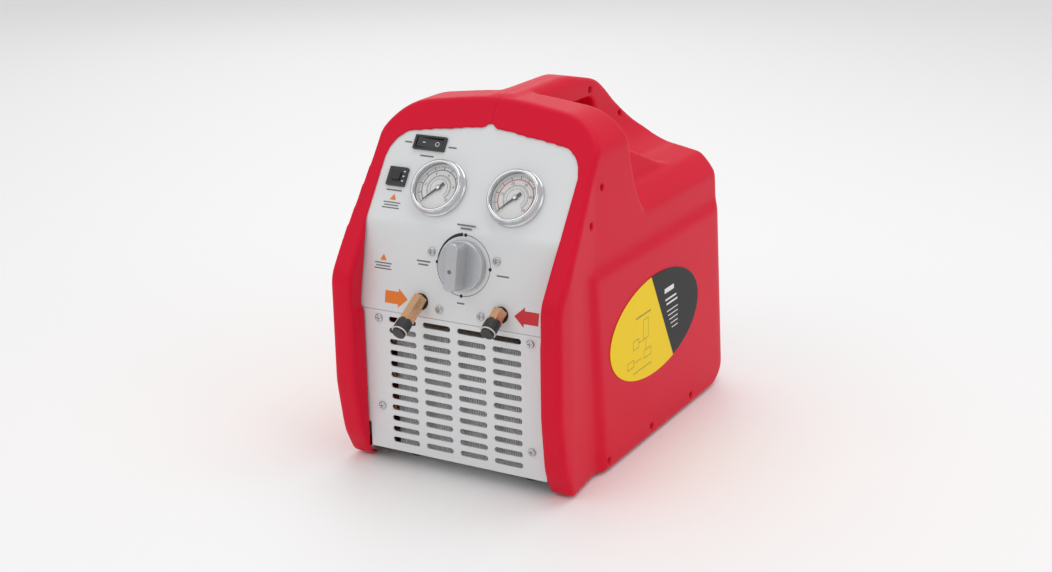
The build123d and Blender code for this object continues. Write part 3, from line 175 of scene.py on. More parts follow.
def finish_material(name, colour, roughness, metal=0.0, vary=0.08, blotch=9.0, grain=900.0,
                    bump=0.06, stretch=(1, 1, 1), coat=0.0, wear=0.0, depth=0.0004, shine=0.5):
    """Procedural finish: broad colour drift, grain in bump and roughness, and paler worn edges."""
    material = bpy.data.materials.new(name)
    material.use_nodes = True
    nodes, links = material.node_tree.nodes, material.node_tree.links
    shader = nodes["Principled BSDF"]
    where = nodes.new("ShaderNodeTexCoord").outputs["Object"]
    drift = noise(nodes, links, where, blotch)
    fine = noise(nodes, links, where, grain, 3.0, stretch)
    low = [c * (1 - vary) for c in colour]
    high = [min(1.0, c * (1 + vary)) for c in colour]
    tint = shade_between(nodes, links, drift, low, high)
    if wear > 0:
        tint = worn_edges(nodes, links, tint, colour, wear)
    links.new(tint, shader.inputs["Base Color"])
    spread = nodes.new("ShaderNodeMapRange")
    spread.inputs["To Min"].default_value = max(0.02, roughness - ROUGHNESS_SPREAD)
    spread.inputs["To Max"].default_value = min(1.0, roughness + ROUGHNESS_SPREAD)
    links.new(fine, spread.inputs["Value"])
    links.new(spread.outputs["Result"], shader.inputs["Roughness"])
    relief = nodes.new("ShaderNodeBump")
    relief.inputs["Strength"].default_value = bump
    relief.inputs["Distance"].default_value = depth
    links.new(fine, relief.inputs["Height"])
    links.new(relief.outputs["Normal"], shader.inputs["Normal"])
    shader.inputs["Metallic"].default_value = metal
    shader.inputs["Specular IOR Level"].default_value = shine
    if coat > 0:
        shader.inputs["Coat Weight"].default_value = coat
        shader.inputs["Coat Roughness"].default_value = COAT_ROUGHNESS
    return material


BRUSHED = (0.04, 1, 1)          # grain drawn out along X
FINISHES = {
    "red_case": dict(colour=(0.7, 0.001, 0.028), roughness=0.46, vary=0.05, grain=1500, bump=0.22,
                     wear=0.25, shine=0.18),
    "panel_paint": dict(colour=(0.74, 0.75, 0.76), roughness=0.33, vary=0.02, grain=1300, bump=0.05,
                        coat=0.15),
    "zinc_sheet": dict(colour=(0.55, 0.56, 0.58), roughness=0.36, metal=0.9, vary=0.14, blotch=45,
                       stretch=BRUSHED),
    "black_plastic": dict(colour=(0.013, 0.013, 0.014), roughness=0.38, vary=0.2, bump=0.12, wear=0.3),
    "pale_strap": dict(colour=(0.62, 0.62, 0.58), roughness=0.45, vary=0.05, bump=0.08),
    "silver_knob": dict(colour=(0.52, 0.53, 0.55), roughness=0.3, metal=0.55, vary=0.04, bump=0.05,
                        coat=0.2),
    "chrome_trim": dict(colour=(0.66, 0.67, 0.68), roughness=0.16, metal=1.0, vary=0.03, bump=0.02),
    "screw_steel": dict(colour=(0.56, 0.56, 0.57), roughness=0.25, metal=1.0, vary=0.1, blotch=150,
                        bump=0.05),
    "brass_fittings": dict(colour=(0.72, 0.42, 0.24), roughness=0.27, metal=0.9, vary=0.1, blotch=60,
                           grain=400, bump=0.02),
    "copper_tube": dict(colour=(0.72, 0.33, 0.19), roughness=0.3, metal=0.95, vary=0.15, blotch=60),
    "aluminium_fins": dict(colour=(0.84, 0.85, 0.86), roughness=0.5, metal=0.3, vary=0.08, blotch=60),
    "iron_motor": dict(colour=(0.035, 0.036, 0.04), roughness=0.5, vary=0.2, blotch=40, bump=0.25),
    "motor_fan_plastic": dict(colour=(0.05, 0.05, 0.055), roughness=0.5, vary=0.15, bump=0.12),
    "soft_rubber": dict(colour=(0.012, 0.012, 0.012), roughness=0.7, vary=0.2, bump=0.25),
    "dial_white": dict(colour=(0.82, 0.82, 0.81), roughness=0.5, vary=0.02, bump=0.03),
    "needle_black": dict(colour=(0.02, 0.02, 0.02), roughness=0.4, vary=0.1, bump=0.03),
    "label_print": dict(colour=(0.94, 0.66, 0.002), roughness=0.4, vary=0.03, bump=0.02, shine=0.15),
}
INKS = {
    "ink_black": dict(colour=(0.02, 0.02, 0.022), roughness=0.4, vary=0.1, bump=0.03),
    "ink_grey": dict(colour=(0.16, 0.16, 0.17), roughness=0.45, vary=0.06, bump=0.03),
    "ink_red": dict(colour=(0.62, 0.02, 0.03), roughness=0.4, vary=0.05, bump=0.03),
    "ink_orange": dict(colour=(0.8, 0.2, 0.015), roughness=0.4, vary=0.05, bump=0.03),
    "ink_white": dict(colour=(0.8, 0.8, 0.8), roughness=0.4, vary=0.03, bump=0.03),
    "ink_brown": dict(colour=(0.25, 0.15, 0.01), roughness=0.35, vary=0.05, bump=0.03),
}
paints = {}


LENS_COLOUR = (0.95, 0.97, 0.98)
LENS_ROUGHNESS = 0.09
LENS_OPACITY = 0.05


def lens_material():
    """Clear cover that keeps its gloss and lets the dial show through."""
    material = finish_material("clear_lens", LENS_COLOUR, LENS_ROUGHNESS, vary=0.01, bump=0.01)
    material.node_tree.nodes["Principled BSDF"].inputs["Alpha"].default_value = LENS_OPACITY
    return material


def make_materials():
    for name, values in {**FINISHES, **INKS}.items():
        paints[name] = finish_material(name, **values)
    paints["clear_lens"] = lens_material()


def paint(piece, name):
    piece.data.materials.clear()
    piece.data.materials.append(paints[name])
    return piece


# ---------------------------------------------------------------- mesh helpers
def new_piece(name, mesh, body, finish):
    piece = bpy.data.objects.new(name, mesh)
    bpy.context.scene.collection.objects.link(piece)
    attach(piece, body)
    paint(piece, finish)
    return piece


def smooth(mesh):
    mesh.polygons.foreach_set("use_smooth", [True] * len(mesh.polygons))


def mesh_from(bm, name):
    mesh = bpy.data.meshes.new(name)
    bm.to_mesh(mesh)
    bm.free()
    return mesh


def join_rings(bm, first, second):
    """Faces between two closed rings of the same number of points."""
    count = len(first)
    for i in range(count):
        j = (i + 1) % count
        bm.faces.new((first[i], first[j], second[j], second[i]))


def soften(piece, width, segments=2, angle=35.0):
    """Small rounded edge on every corner sharper than angle."""
    bevel = piece.modifiers.new("edge", "BEVEL")
    bevel.width = width
    bevel.segments = segments
    bevel.limit_method = "ANGLE"
    bevel.angle_limit = radians(angle)
    bevel.use_clamp_overlap = True
    bevel.harden_normals = True
    smooth(piece.data)


def face_frame(origin, normal):
    """Matrix whose x runs to the right, y up the surface and z out of it."""
    out = Vector(normal).normalized()
    right = Vector((1, 0, 0)) if abs(out.x) < 0.9 else Vector((0, 1 if out.x > 0 else -1, 0))
    up = out.cross(right).normalized()
    turn = Matrix((right, up, out)).transposed().to_4x4()
    return Matrix.Translation(origin) @ turn


def lathe(name, place, profile, body, finish, steps=96, ribs=0, rib_depth=0.0,
          rib_from=0, rib_to=0):
    """Turn a profile of (radius, height) in mm about place's z axis, with ribs on some rings."""
    bm = bmesh.new()
    rings = []
    for level, (radius, height) in enumerate(profile):
        ribbed = ribs and rib_from <= level <= rib_to
        ring = []
        for i in range(steps):
            angle = 2 * pi * i / steps
            r = radius - (rib_depth * (0.5 + 0.5 * cos(ribs * angle)) if ribbed else 0)
            ring.append(bm.verts.new(
                place @ Vector((r * MM * cos(angle), r * MM * sin(angle), height * MM))))
        rings.append(ring)
    for a, b in zip(rings, rings[1:]):
        join_rings(bm, a, b)
    if (Vector(profile[0]) - Vector(profile[-1])).length > 1e-6:
        bm.faces.new(list(reversed(rings[0])))
        bm.faces.new(rings[-1])
    bmesh.ops.remove_doubles(bm, verts=bm.verts, dist=1e-7)
    bmesh.ops.recalc_face_normals(bm, faces=bm.faces)
    mesh = mesh_from(bm, name)
    smooth(mesh)
    piece = new_piece(name, mesh, body, finish)
    piece.data.set_sharp_from_angle(angle=radians(50))
    return piece


def rounded_profile(points, radius, steps=3):
    """Profile with each inner corner of points rounded off."""
    out = [points[0]]
    for last, here, after in zip(points, points[1:], points[2:]):
        p = Vector(here)
        to_last, to_next = Vector(last) - p, Vector(after) - p
        cut = min(radius, to_last.length / 2.01, to_next.length / 2.01)
        start, end = p + to_last.normalized() * cut, p + to_next.normalized() * cut
        for i in range(steps + 1):
            t = i / steps
            out.append(tuple(start * (1 - t) ** 2 + p * 2 * t * (1 - t) + end * t ** 2))
    out.append(points[-1])
    return out


def printed(name, place, outlines, body, finish, lift=0.05):
    """Thin printed marks on a surface: outlines are lists of (x, y) in mm on place's plane."""
    bm = bmesh.new()
    for outline in outlines:
        low, high = ([bm.verts.new(place @ Vector((x * MM, y * MM, z * MM))) for x, y in outline]
                     for z in (lift, lift + INK_THICKNESS))
        bm.faces.new(list(reversed(low)))
        bm.faces.new(high)
        join_rings(bm, low, high)
    bmesh.ops.recalc_face_normals(bm, faces=bm.faces)
    return new_piece(name, mesh_from(bm, name), body, finish)


def bar(x, y, width, height):
    return [(x - width / 2, y - height / 2), (x + width / 2, y - height / 2),
            (x + width / 2, y + height / 2), (x - width / 2, y + height / 2)]


def polar(radius, degrees):
    """Point on a dial; 0 is straight up and angles run clockwise."""
    a = radians(90 - degrees)
    return (radius * cos(a), radius * sin(a))


def arc_quads(inner, outer, start, end, step=4.0, taper=0.0):
    """Curved band as short quads; taper narrows it towards its start."""
    count = max(1, round(abs(end - start) / step))
    quads = []
    for i in range(count):
        a0 = start + (end - start) * i / count
        a1 = start + (end - start) * (i + 1) / count
        w0 = (outer - inner) * (1 - taper * (1 - i / count))
        w1 = (outer - inner) * (1 - taper * (1 - (i + 1) / count))
        quads.append([polar(inner, a0), polar(inner, a1), polar(inner + w1, a1), polar(inner + w0, a0)])
    return quads


def tick(inner, outer, width, degrees):
    a = radians(90 - degrees)
    ux, uy = cos(a), sin(a)
    px, py = -uy * width / 2, ux * width / 2
    return [(ux * inner - px, uy * inner - py), (ux * outer - px, uy * outer - py),
            (ux * outer + px, uy * outer + py), (ux * inner + px, uy * inner + py)]


def number(name, text, place, x, y, size, body, finish, lift=0.05):
    curve = bpy.data.curves.new(name, "FONT")
    curve.body = text
    curve.size = size * MM
    curve.align_x = "CENTER"
    curve.align_y = "CENTER"
    curve.extrude = NUMBER_THICKNESS * MM
    piece = bpy.data.objects.new(name, curve)
    bpy.context.scene.collection.objects.link(piece)
    piece.matrix_world = place @ Matrix.Translation((x * MM, y * MM, lift * MM))
    bpy.context.view_layer.update()
    mesh = bpy.data.meshes.new_from_object(piece)
    mesh.transform(piece.matrix_world)
    bpy.data.objects.remove(piece)
    return new_piece(name, mesh, body, finish)


# ---------------------------------------------------------------- places taken from the frame
joints = {j["name"]: j for j in frame["joints"]}


def centre(node):
    low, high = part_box(node)
    return (low + high) / 2


def joint_face(name):
    """Frame on the panel where a turning control comes through it."""
    joint = joints[name]
    return face_frame(Vector(joint["pos_m"]), -Vector(joint["axis"]))


LOWER_PANEL = joint_face("selector_turn")
GAUGE_FACES = {"low": joint_face("low_pointer_swing"), "high": joint_face("high_pointer_swing")}


def on_sheet(sheet, x, z):
    """Frame on one of the control panel's two flats, at x and z in metres."""
    out = sheet.col[2].to_3d()
    base = sheet.col[3].to_3d()
    y = base.y - (out.x * (x - base.x) + out.z * (z - base.z)) / out.y
    return face_frame((x, y, z), out)


# ---------------------------------------------------------------- carry case
CASE_VOXEL = 1.3 * MM
EVEN_ROUNDS = 24                # paired steps out and back, which take off the grid's steps
EVEN_OUT, EVEN_BACK = 0.6, -0.64
CASE_ROUNDS = 30                # rounds that set how large the rounded edges are
ROUND_STEP = 0.55
RIM_SHARE = 0.85                # share of that rounding at the front sheets
SHEET_LOOK = 9 * MM             # how far off a front sheet is looked for
SHEET_NEAR, SHEET_FAR = 1.6 * MM, 6 * MM
SCREW_CLEAR_DEPTH = 6 * MM      # along the screws
SCREW_NEAR, SCREW_FAR = 1.2 * MM, 4 * MM
SHARP_ANGLE = radians(55)
SEAM_PUSH = 0.3 * MM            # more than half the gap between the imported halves
SEAM_HALF_GAP = 0.22 * MM


def screw_places(node):
    """Lowest and highest corner of each separate solid of a node."""
    mesh = frame["nodes"][node].data
    bm = bmesh.new()
    bm.from_mesh(mesh)
    bmesh.ops.remove_doubles(bm, verts=bm.verts, dist=1e-6)
    unseen = set(bm.verts)
    boxes = []
    while unseen:
        stack = [unseen.pop()]
        island = []
        while stack:
            vert = stack.pop()
            island.append(vert.co.copy())
            for edge in vert.link_edges:
                other = edge.other_vert(vert)
                if other in unseen:
                    unseen.discard(other)
                    stack.append(other)
        boxes.append((Vector(map(min, *[tuple(c) for c in island])),
                      Vector(map(max, *[tuple(c) for c in island]))))
    bm.free()
    return boxes


def surface_tree(names):
    vertices, faces = [], []
    for name in names:
        mesh = frame["nodes"][name].data
        offset = len(vertices)
        vertices += [v.co.copy() for v in mesh.vertices]
        faces += [[offset + i for i in p.vertices] for p in mesh.polygons]
    return BVHTree.FromPolygons(vertices, faces)


def ramp(values, low, high):
    t = np.clip((values - low) / (high - low), 0, 1)
    return t * t * (3 - 2 * t)


def joined_case():
    """Both case halves as one mesh, each pushed across the joint so that remeshing welds them."""
    bm = bmesh.new()
    for node, push in (("left_case_half", 1), ("right_case_half", -1)):
        mesh = frame["nodes"][node].data.copy()
        mesh.transform(Matrix.Translation((push * SEAM_PUSH, 0, 0)))
        bm.from_mesh(mesh)
        bpy.data.meshes.remove(mesh)
    return mesh_from(bm, "case_form")


def remeshed(mesh, voxel):
    piece = bpy.data.objects.new("remesh_source", mesh)
    bpy.context.scene.collection.objects.link(piece)
    remesh = piece.modifiers.new("remesh", "REMESH")
    remesh.mode = "VOXEL"
    remesh.voxel_size = voxel
    graph = bpy.context.evaluated_depsgraph_get()
    result = bpy.data.meshes.new_from_object(piece.evaluated_get(graph))
    bpy.data.objects.remove(piece)
    return result


def case_freedom(points, sheets, screws):
    """How far each point may be rounded: less at the front sheets, little at the screws."""
    gaps = np.ones(len(points))
    for i, point in enumerate(points):
        hit = sheets.find_nearest(Vector(point), SHEET_LOOK)
        if hit[0] is not None:
            gaps[i] = hit[3]
    free = np.where(gaps < 1, ramp(gaps, SHEET_NEAR, SHEET_FAR), 1)
    free = RIM_SHARE + (1 - RIM_SHARE) * free
    for low, high in screws:
        middle = (np.array(low) + np.array(high)) / 2
        half = (np.array(high) - np.array(low)) / 2
        gap = np.maximum(np.abs(points - middle) - half, 0)
        gap[:, 0] = np.maximum(gap[:, 0] - SCREW_CLEAR_DEPTH, 0)
        free *= ramp(np.linalg.norm(gap, axis=1), SCREW_NEAR, SCREW_FAR)
    return free


def relax(mesh, free):
    """Even out the remeshed surface, then round its edges as far as each point is free."""
    count = len(mesh.vertices)
    points = np.zeros(count * 3)
    mesh.vertices.foreach_get("co", points)
    points = points.reshape(-1, 3)
    edges = np.zeros(len(mesh.edges) * 2, int)
    mesh.edges.foreach_get("vertices", edges)
    first, second = edges.reshape(-1, 2).T
    degree = np.bincount(edges, minlength=count)[:, None].clip(1)

    def towards_neighbours():
        total = np.zeros_like(points)
        for axis in range(3):
            total[:, axis] = np.bincount(first, points[second, axis], count)
            total[:, axis] += np.bincount(second, points[first, axis], count)
        return total / degree - points

    for _ in range(EVEN_ROUNDS):
        points += EVEN_OUT * towards_neighbours()
        points += EVEN_BACK * towards_neighbours()
    share = free(points)[:, None] * ROUND_STEP
    for _ in range(CASE_ROUNDS):
        points += share * towards_neighbours()
    mesh.vertices.foreach_set("co", points.ravel())
    mesh.update()


def cut_half(mesh, name, side):
    """The part of the case on one side of the joint, closed with a flat face there."""
    bm = bmesh.new()
    bm.from_mesh(mesh)
    cut = bmesh.ops.bisect_plane(bm, geom=bm.verts[:] + bm.edges[:] + bm.faces[:], dist=1e-6,
                                 plane_co=(side * SEAM_HALF_GAP, 0, 0), plane_no=(-side, 0, 0),
                                 clear_outer=True)
    rim = [e for e in cut["geom_cut"] if isinstance(e, bmesh.types.BMEdge)]
    bmesh.ops.triangle_fill(bm, edges=rim, use_beauty=True, normal=(-side, 0, 0))
    bmesh.ops.recalc_face_normals(bm, faces=bm.faces)
    half = mesh_from(bm, name)
    smooth(half)
    half.set_sharp_from_angle(angle=SHARP_ANGLE)
    return half


def make_case():
    """Case halves with edges rounded as moulded plastic, cut apart again at their joint."""
    sheets = surface_tree(["control_panel", "grille_plate"])
    screws = screw_places("case_screws")
    mesh = remeshed(joined_case(), CASE_VOXEL)
    relax(mesh, lambda points: case_freedom(points, sheets, screws))
    for side, word in ((-1, "left"), (1, "right")):
        half = cut_half(mesh, word + "_case_shell", side)
        piece = new_piece(word + "_case_shell", half, "machine", "red_case")
        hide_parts(word + "_case_half")


# ---------------------------------------------------------------- gauges
BEZEL_PROFILE = [
    (25.2, 0.1), (28.5, 0.1), (28.5, 2.0), (27.0, 3.0), (26.8, 8.2), (25.6, 9.8), (23.6, 9.8),
    (22.6, 8.6), (24.5, 8.4), (24.7, 1.0), (25.2, 0.1)]
HUB_PROFILE = [(0.05, 4.05), (2.4, 4.05), (2.2, 5.0), (0.05, 5.3)]
DIALS = {"low": dict(numbers=["0", "2", "4", "6", "8", "10"], inks=("ink_grey", "ink_black")),
         "high": dict(numbers=["0", "10", "20", "30", "40", "50"], inks=("ink_red", "ink_grey"))}
DIAL_START, DIAL_END = -135.0, 135.0
DIAL_LIFT = 1.55                # printing on the dials, over the panel
SCALE_R = 22.2                  # outer end of the outer scale's ticks
LONG_TICKS, SHORT_TICKS, INNER_TICKS = 10, 50, 40
LONG_TICK, SHORT_TICK, INNER_TICK = (18.9, 0.75), (20.4, 0.36), (10.9, 0.36)    # inner end, width
INNER_SCALE_R = 12.6
BAND, INNER_LINES = (17.6, 18.6), ((12.6, 13.0), (8.9, 9.3))
NUMBER_R, NUMBER_SIZE = 15.2, 4.0


def dial_ticks(count, inner, outer, width):
    span = DIAL_END - DIAL_START
    return [tick(inner, outer, width, DIAL_START + span * i / count) for i in range(count + 1)]


def make_gauge(which):
    face = GAUGE_FACES[which]
    name = which + "_gauge"
    rim = lathe(name + "_rim", face, rounded_profile(BEZEL_PROFILE, 0.9), "machine", "chrome_trim",
                steps=128)
    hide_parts("gauge_bezels")
    dial = DIALS[which]
    outer, inner = dial["inks"]
    scale = dial_ticks(LONG_TICKS, LONG_TICK[0], SCALE_R, LONG_TICK[1])
    scale += dial_ticks(SHORT_TICKS, SHORT_TICK[0], SCALE_R, SHORT_TICK[1])
    printed(name + "_scale", face, scale, "machine", "ink_black", DIAL_LIFT)
    printed(name + "_outer_band", face, arc_quads(*BAND, DIAL_START, DIAL_END), "machine", outer,
            DIAL_LIFT)
    fine = dial_ticks(INNER_TICKS, INNER_TICK[0], INNER_SCALE_R, INNER_TICK[1])
    for line in INNER_LINES:
        fine += arc_quads(*line, DIAL_START, DIAL_END)
    printed(name + "_inner_scale", face, fine, "machine", inner, DIAL_LIFT)
    for i, text in enumerate(dial["numbers"]):
        angle = DIAL_START + (DIAL_END - DIAL_START) * i / (len(dial["numbers"]) - 1)
        x, y = polar(NUMBER_R, angle)
        number(f"{name}_number_{i}", text, face, x, y, NUMBER_SIZE, "machine", "ink_black", DIAL_LIFT)
    lathe(name + "_hub", face, rounded_profile(HUB_PROFILE, 0.5), which + "_pointer", "chrome_trim",
          steps=40)


def make_gauges():
    for which in ("low", "high"):
        make_gauge(which)


# ---------------------------------------------------------------- printing on the front
RING = (28.4, 28.9)             # line round the selector
RING_SWEEP = (27.4, 30.6)       # its thick stretch, which narrows to the left
DOT_R, DOT_RING_R = 1.7, 28.6
SELECTOR_CAPTIONS = [           # x, y, width and height of each bar, in mm from the knob
    (0, 37.6, 20, 1.5), (0, 34.4, 12, 1.5), (-43.5, -1.5, 15, 1.5), (-43.5, -4.7, 11, 1.5),
    (42.5, -4.5, 13, 1.5), (0, -35.5, 8, 1.5)]
SWITCH_CAPTIONS = [(-24.5, 0, 8, 1.6), (25, -1, 9, 1.6), (0, -12.2, 15, 1.6)]
BREAKER_CAPTION = (0, -13.6, 17, 1.5)
BREAKER_Z = 278.2 * MM
NOTICE_X = -81.6 * MM
UPPER_NOTICE_Z, LOWER_NOTICE_Z = 261.2 * MM, 207.2 * MM
NOTICE_TRIANGLE = [(-3.6, -2.6), (3.6, -2.6), (0, 3.6)]
INLET_ARROW_AT = (-64.0 * MM, 171.2 * MM)
OUTLET_ARROW_AT = (76.5 * MM, 172.7 * MM)
ARROW = [(-13, -6), (2, -6), (2, -9.4), (12.5, 0), (2, 9.4), (2, 6), (-13, 6)]


def on_front(name, place, outlines, ink):
    printed(name, place, outlines, "machine", ink)


def make_selector_ring():
    ring = arc_quads(*RING, 0, 360, 3.0) + arc_quads(*RING_SWEEP, -88, -6, 3.0, taper=0.85)
    for angle in (0, 90, 180, 270):
        dot_x, dot_y = polar(DOT_RING_R, angle)
        ring.append([(x + dot_x, y + dot_y) for x, y in (polar(DOT_R, a) for a in range(0, 360, 24))])
    on_front("selector_ring", LOWER_PANEL, ring, "ink_black")


def make_notice(name, place):
    """Plain triangle over three bars."""
    on_front(name + "_notice_mark", place, [NOTICE_TRIANGLE], "ink_orange")
    lines = [bar(0, -5.2 - 2.7 * i, 19 - 3 * (i % 2), 1.2) for i in range(3)]
    on_front(name + "_notice_lines", place, lines, "ink_grey")


def make_printing():
    make_selector_ring()
    on_front("selector_captions", LOWER_PANEL, [bar(*b) for b in SELECTOR_CAPTIONS], "ink_grey")
    upper = GAUGE_FACES["low"]
    switch = on_sheet(upper, centre("switch_housing").x, joints["power_rocker"]["pos_m"][2])
    on_front("switch_captions", switch, [bar(*b) for b in SWITCH_CAPTIONS], "ink_grey")
    breaker = on_sheet(upper, centre("breaker_housing").x, BREAKER_Z)
    on_front("breaker_caption", breaker, [bar(*BREAKER_CAPTION)], "ink_grey")
    make_notice("upper", on_sheet(upper, NOTICE_X, UPPER_NOTICE_Z))
    make_notice("lower", on_sheet(LOWER_PANEL, NOTICE_X, LOWER_NOTICE_Z))
    on_front("inlet_arrow", on_sheet(LOWER_PANEL, *INLET_ARROW_AT), [ARROW], "ink_orange")
    turned = [(-x, y) for x, y in ARROW]
    on_front("outlet_arrow", on_sheet(LOWER_PANEL, *OUTLET_ARROW_AT), [turned], "ink_red")


# ---------------------------------------------------------------- side label
LABEL_SPLIT = ((0.0049, 0.1699), (0.0587, 0.0718))    # y, z of two points on the colour border
LABEL_BLACK = (0.012, 0.012, 0.013, 1)
DIAGRAM_LINE = 0.6
DIAGRAM_BOXES = [(-46, -8, 12, 9), (-24, 2, 11, 20), (-58, -26, 14, 7), (-20, -24, 16, 8)]
DIAGRAM_LINKS = [(-35, -8, 10, 0.6), (-42, -26, 18, 0.6), (-24, -14, 0.6, 12), (-30, 18, 34, 1.4),
                 (-32, -37, 42, 0.8)]
LABEL_LINES = [(30, 27, 22, 5.0), (34, 17, 26, 2.0), (37, 12, 26, 2.0)]
SMALL_LINES = 5


def make_label_material():
    """Yellow ahead of a slanting line and black behind it, from where a point lies on the side."""
    material = paints["label_print"]
    nodes, links = material.node_tree.nodes, material.node_tree.links
    shader = nodes["Principled BSDF"]
    (y0, z0), (y1, z1) = LABEL_SPLIT
    across = Vector((z0 - z1, y1 - y0)).normalized()
    where = nodes.new("ShaderNodeTexCoord").outputs["Object"]
    dot = nodes.new("ShaderNodeVectorMath")
    dot.operation = "DOT_PRODUCT"
    dot.inputs[1].default_value = (0, across.x, across.y)
    links.new(where, dot.inputs[0])
    step = nodes.new("ShaderNodeMath")
    step.operation = "GREATER_THAN"
    step.inputs[1].default_value = across.x * y0 + across.y * z0
    links.new(dot.outputs["Value"], step.inputs[0])
    yellow = shader.inputs["Base Color"].links[0].from_socket
    mix = nodes.new("ShaderNodeMix")
    mix.data_type = "RGBA"
    links.new(step.outputs["Value"], mix.inputs["Factor"])
    links.new(yellow, mix.inputs["A"])
    mix.inputs["B"].default_value = LABEL_BLACK
    links.new(mix.outputs["Result"], shader.inputs["Base Color"])


def label_outlines():
    """Diagram on the label's front half and bars on its rear half, as seen on the right side."""
    diagram = []
    for x, y, width, height in DIAGRAM_BOXES:
        diagram += [bar(x, y + height / 2, width, DIAGRAM_LINE), bar(x, y - height / 2, width, DIAGRAM_LINE),
                    bar(x - width / 2, y, DIAGRAM_LINE, height), bar(x + width / 2, y, DIAGRAM_LINE, height)]
    diagram += [bar(*link) for link in DIAGRAM_LINKS]
    lines = [bar(*line) for line in LABEL_LINES]
    lines += [bar(38 + 1.6 * i, 4 - 5 * i, 26 - 3 * i, 1.1) for i in range(SMALL_LINES)]
    return diagram, lines


def make_label_print():
    low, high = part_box("side_labels")
    for side, x, facing in (("right", high.x, 1), ("left", low.x, -1)):
        middle = Vector((x, (low.y + high.y) / 2, (low.z + high.z) / 2))
        place = face_frame(middle, (facing, 0, 0))
        diagram, lines = ([[(facing * px, py) for px, py in outline] for outline in outlines]
                          for outlines in label_outlines())
        printed(side + "_label_diagram", place, diagram, "machine", "ink_brown", 0.03)
        printed(side + "_label_lines", place, lines, "machine", "ink_white", 0.03)


# ---------------------------------------------------------------- switch, breaker, knob and ports
ROCKER_MARK_SHARE = 0.27        # of the rocker's width, either side of its middle
ROCKER_LOOK = 0.03              # the marks are dropped onto the rocker from this far out
BREAKER_FRONT = 2.62            # mm, over the panel
PALE_MARK_LIFT = 0.14           # clears the rocker's hollow face


def make_switch_marks():
    """The line and ring moulded into the rocker, and three marks on the breaker."""
    out = GAUGE_FACES["low"].col[2].to_3d()
    low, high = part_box("switch_rocker")
    rocker = surface_tree(["switch_rocker"])
    marks = {"on": [bar(0, 0, 4.6, 0.8)], "off": arc_quads(1.7, 2.3, 0, 360, 12)}
    for name, sign in (("on", -1), ("off", 1)):
        above = (low + high) / 2 + out * ROCKER_LOOK
        above.x += sign * ROCKER_MARK_SHARE * (high.x - low.x)
        spot, normal, _, _ = rocker.ray_cast(above, -out)
        printed("rocker_mark_" + name, face_frame(spot, normal if normal.dot(out) > 0 else -normal),
                marks[name], "rocker", "ink_white", PALE_MARK_LIFT)
    face = on_sheet(GAUGE_FACES["low"], centre("breaker_housing").x, BREAKER_Z)
    bars = [bar(7.3, 5.2 - 4.8 * i, 1.9, 1.2) for i in range(3)]
    printed("breaker_marks", face, bars, "machine", "ink_white", BREAKER_FRONT)


KNOB_DOT_DROP = 4 * MM
KNOB_DOT_R = 2.1


def make_knob_dot():
    inward = LOWER_PANEL.inverted()
    top = max((inward @ v.co).z for v in frame["nodes"]["selector_knob"].data.vertices)
    dot = [polar(KNOB_DOT_R, a) for a in range(0, 360, 20)][::-1]
    printed("selector_pointer_dot", LOWER_PANEL @ Matrix.Translation((0, -KNOB_DOT_DROP, 0)), [dot],
            "selector", "ink_grey", top / MM + 0.02)


FIN_PITCH = 1.9 * MM
FIN_THICK = 0.8 * MM
FIN_WAVE = 0.25 * MM            # how unevenly the fins' front edges stand
BOX_CORNERS = ((0, 0, 0), (1, 0, 0), (1, 1, 0), (0, 1, 0), (0, 0, 1), (1, 0, 1), (1, 1, 1), (0, 1, 1))
BOX_FACES = ((3, 2, 1, 0), (4, 5, 6, 7), (0, 1, 5, 4), (1, 2, 6, 5), (2, 3, 7, 6), (3, 0, 4, 7))


def make_fins():
    """Close-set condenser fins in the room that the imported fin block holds."""
    low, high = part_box("condenser_fins")
    count = round((high.x - low.x - FIN_THICK) / FIN_PITCH)
    bm = bmesh.new()
    for i in range(count + 1):
        x = low.x + (high.x - low.x - FIN_THICK) * i / count
        front = low.y + abs(FIN_WAVE * sin(i * 2.4))
        corners = [bm.verts.new((x + dx * FIN_THICK, high.y if dy else front, high.z if dz else low.z))
                   for dx, dy, dz in BOX_CORNERS]
        for quad in BOX_FACES:
            bm.faces.new([corners[k] for k in quad])
    piece = new_piece("fin_pack", mesh_from(bm, "fin_pack"), "machine", "aluminium_fins")
    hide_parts("condenser_fins")


STRAP_SPINE = [(-7.4, -12.0), (-8.6, -8.0), (-8.9, -2.0), (-8.6, 3.0), (-7.7, 6.0)]
STRAP_STEPS = 4                 # per stretch of the spine
STRAP_HALF, STRAP_THICKNESS = 2.2, 0.9
STRAP_RING_R, STRAP_RING_THICKNESS, STRAP_RING_HEIGHT = 6.9, 0.75, 5.4
STRAP_RING_STEPS, STRAP_ROUND_STEPS = 48, 10


def strap_band(bm, place):
    """Flat band down the fitting's left side."""
    last = len(STRAP_SPINE) - 2
    section = ((0, -STRAP_HALF), (STRAP_THICKNESS, -STRAP_HALF), (STRAP_THICKNESS, STRAP_HALF),
               (0, STRAP_HALF))
    rows = []
    for i in range(STRAP_STEPS * (last + 1) + 1):
        k = min(i // STRAP_STEPS, last)
        x, z = Vector(STRAP_SPINE[k]).lerp(Vector(STRAP_SPINE[k + 1]), i / STRAP_STEPS - k)
        rows.append([bm.verts.new(place @ (Vector((x + dx, dy, z)) * MM)) for dx, dy in section])
    for a, b in zip(rows, rows[1:]):
        join_rings(bm, a, b)
    bm.faces.new(rows[0][::-1])
    bm.faces.new(rows[-1])


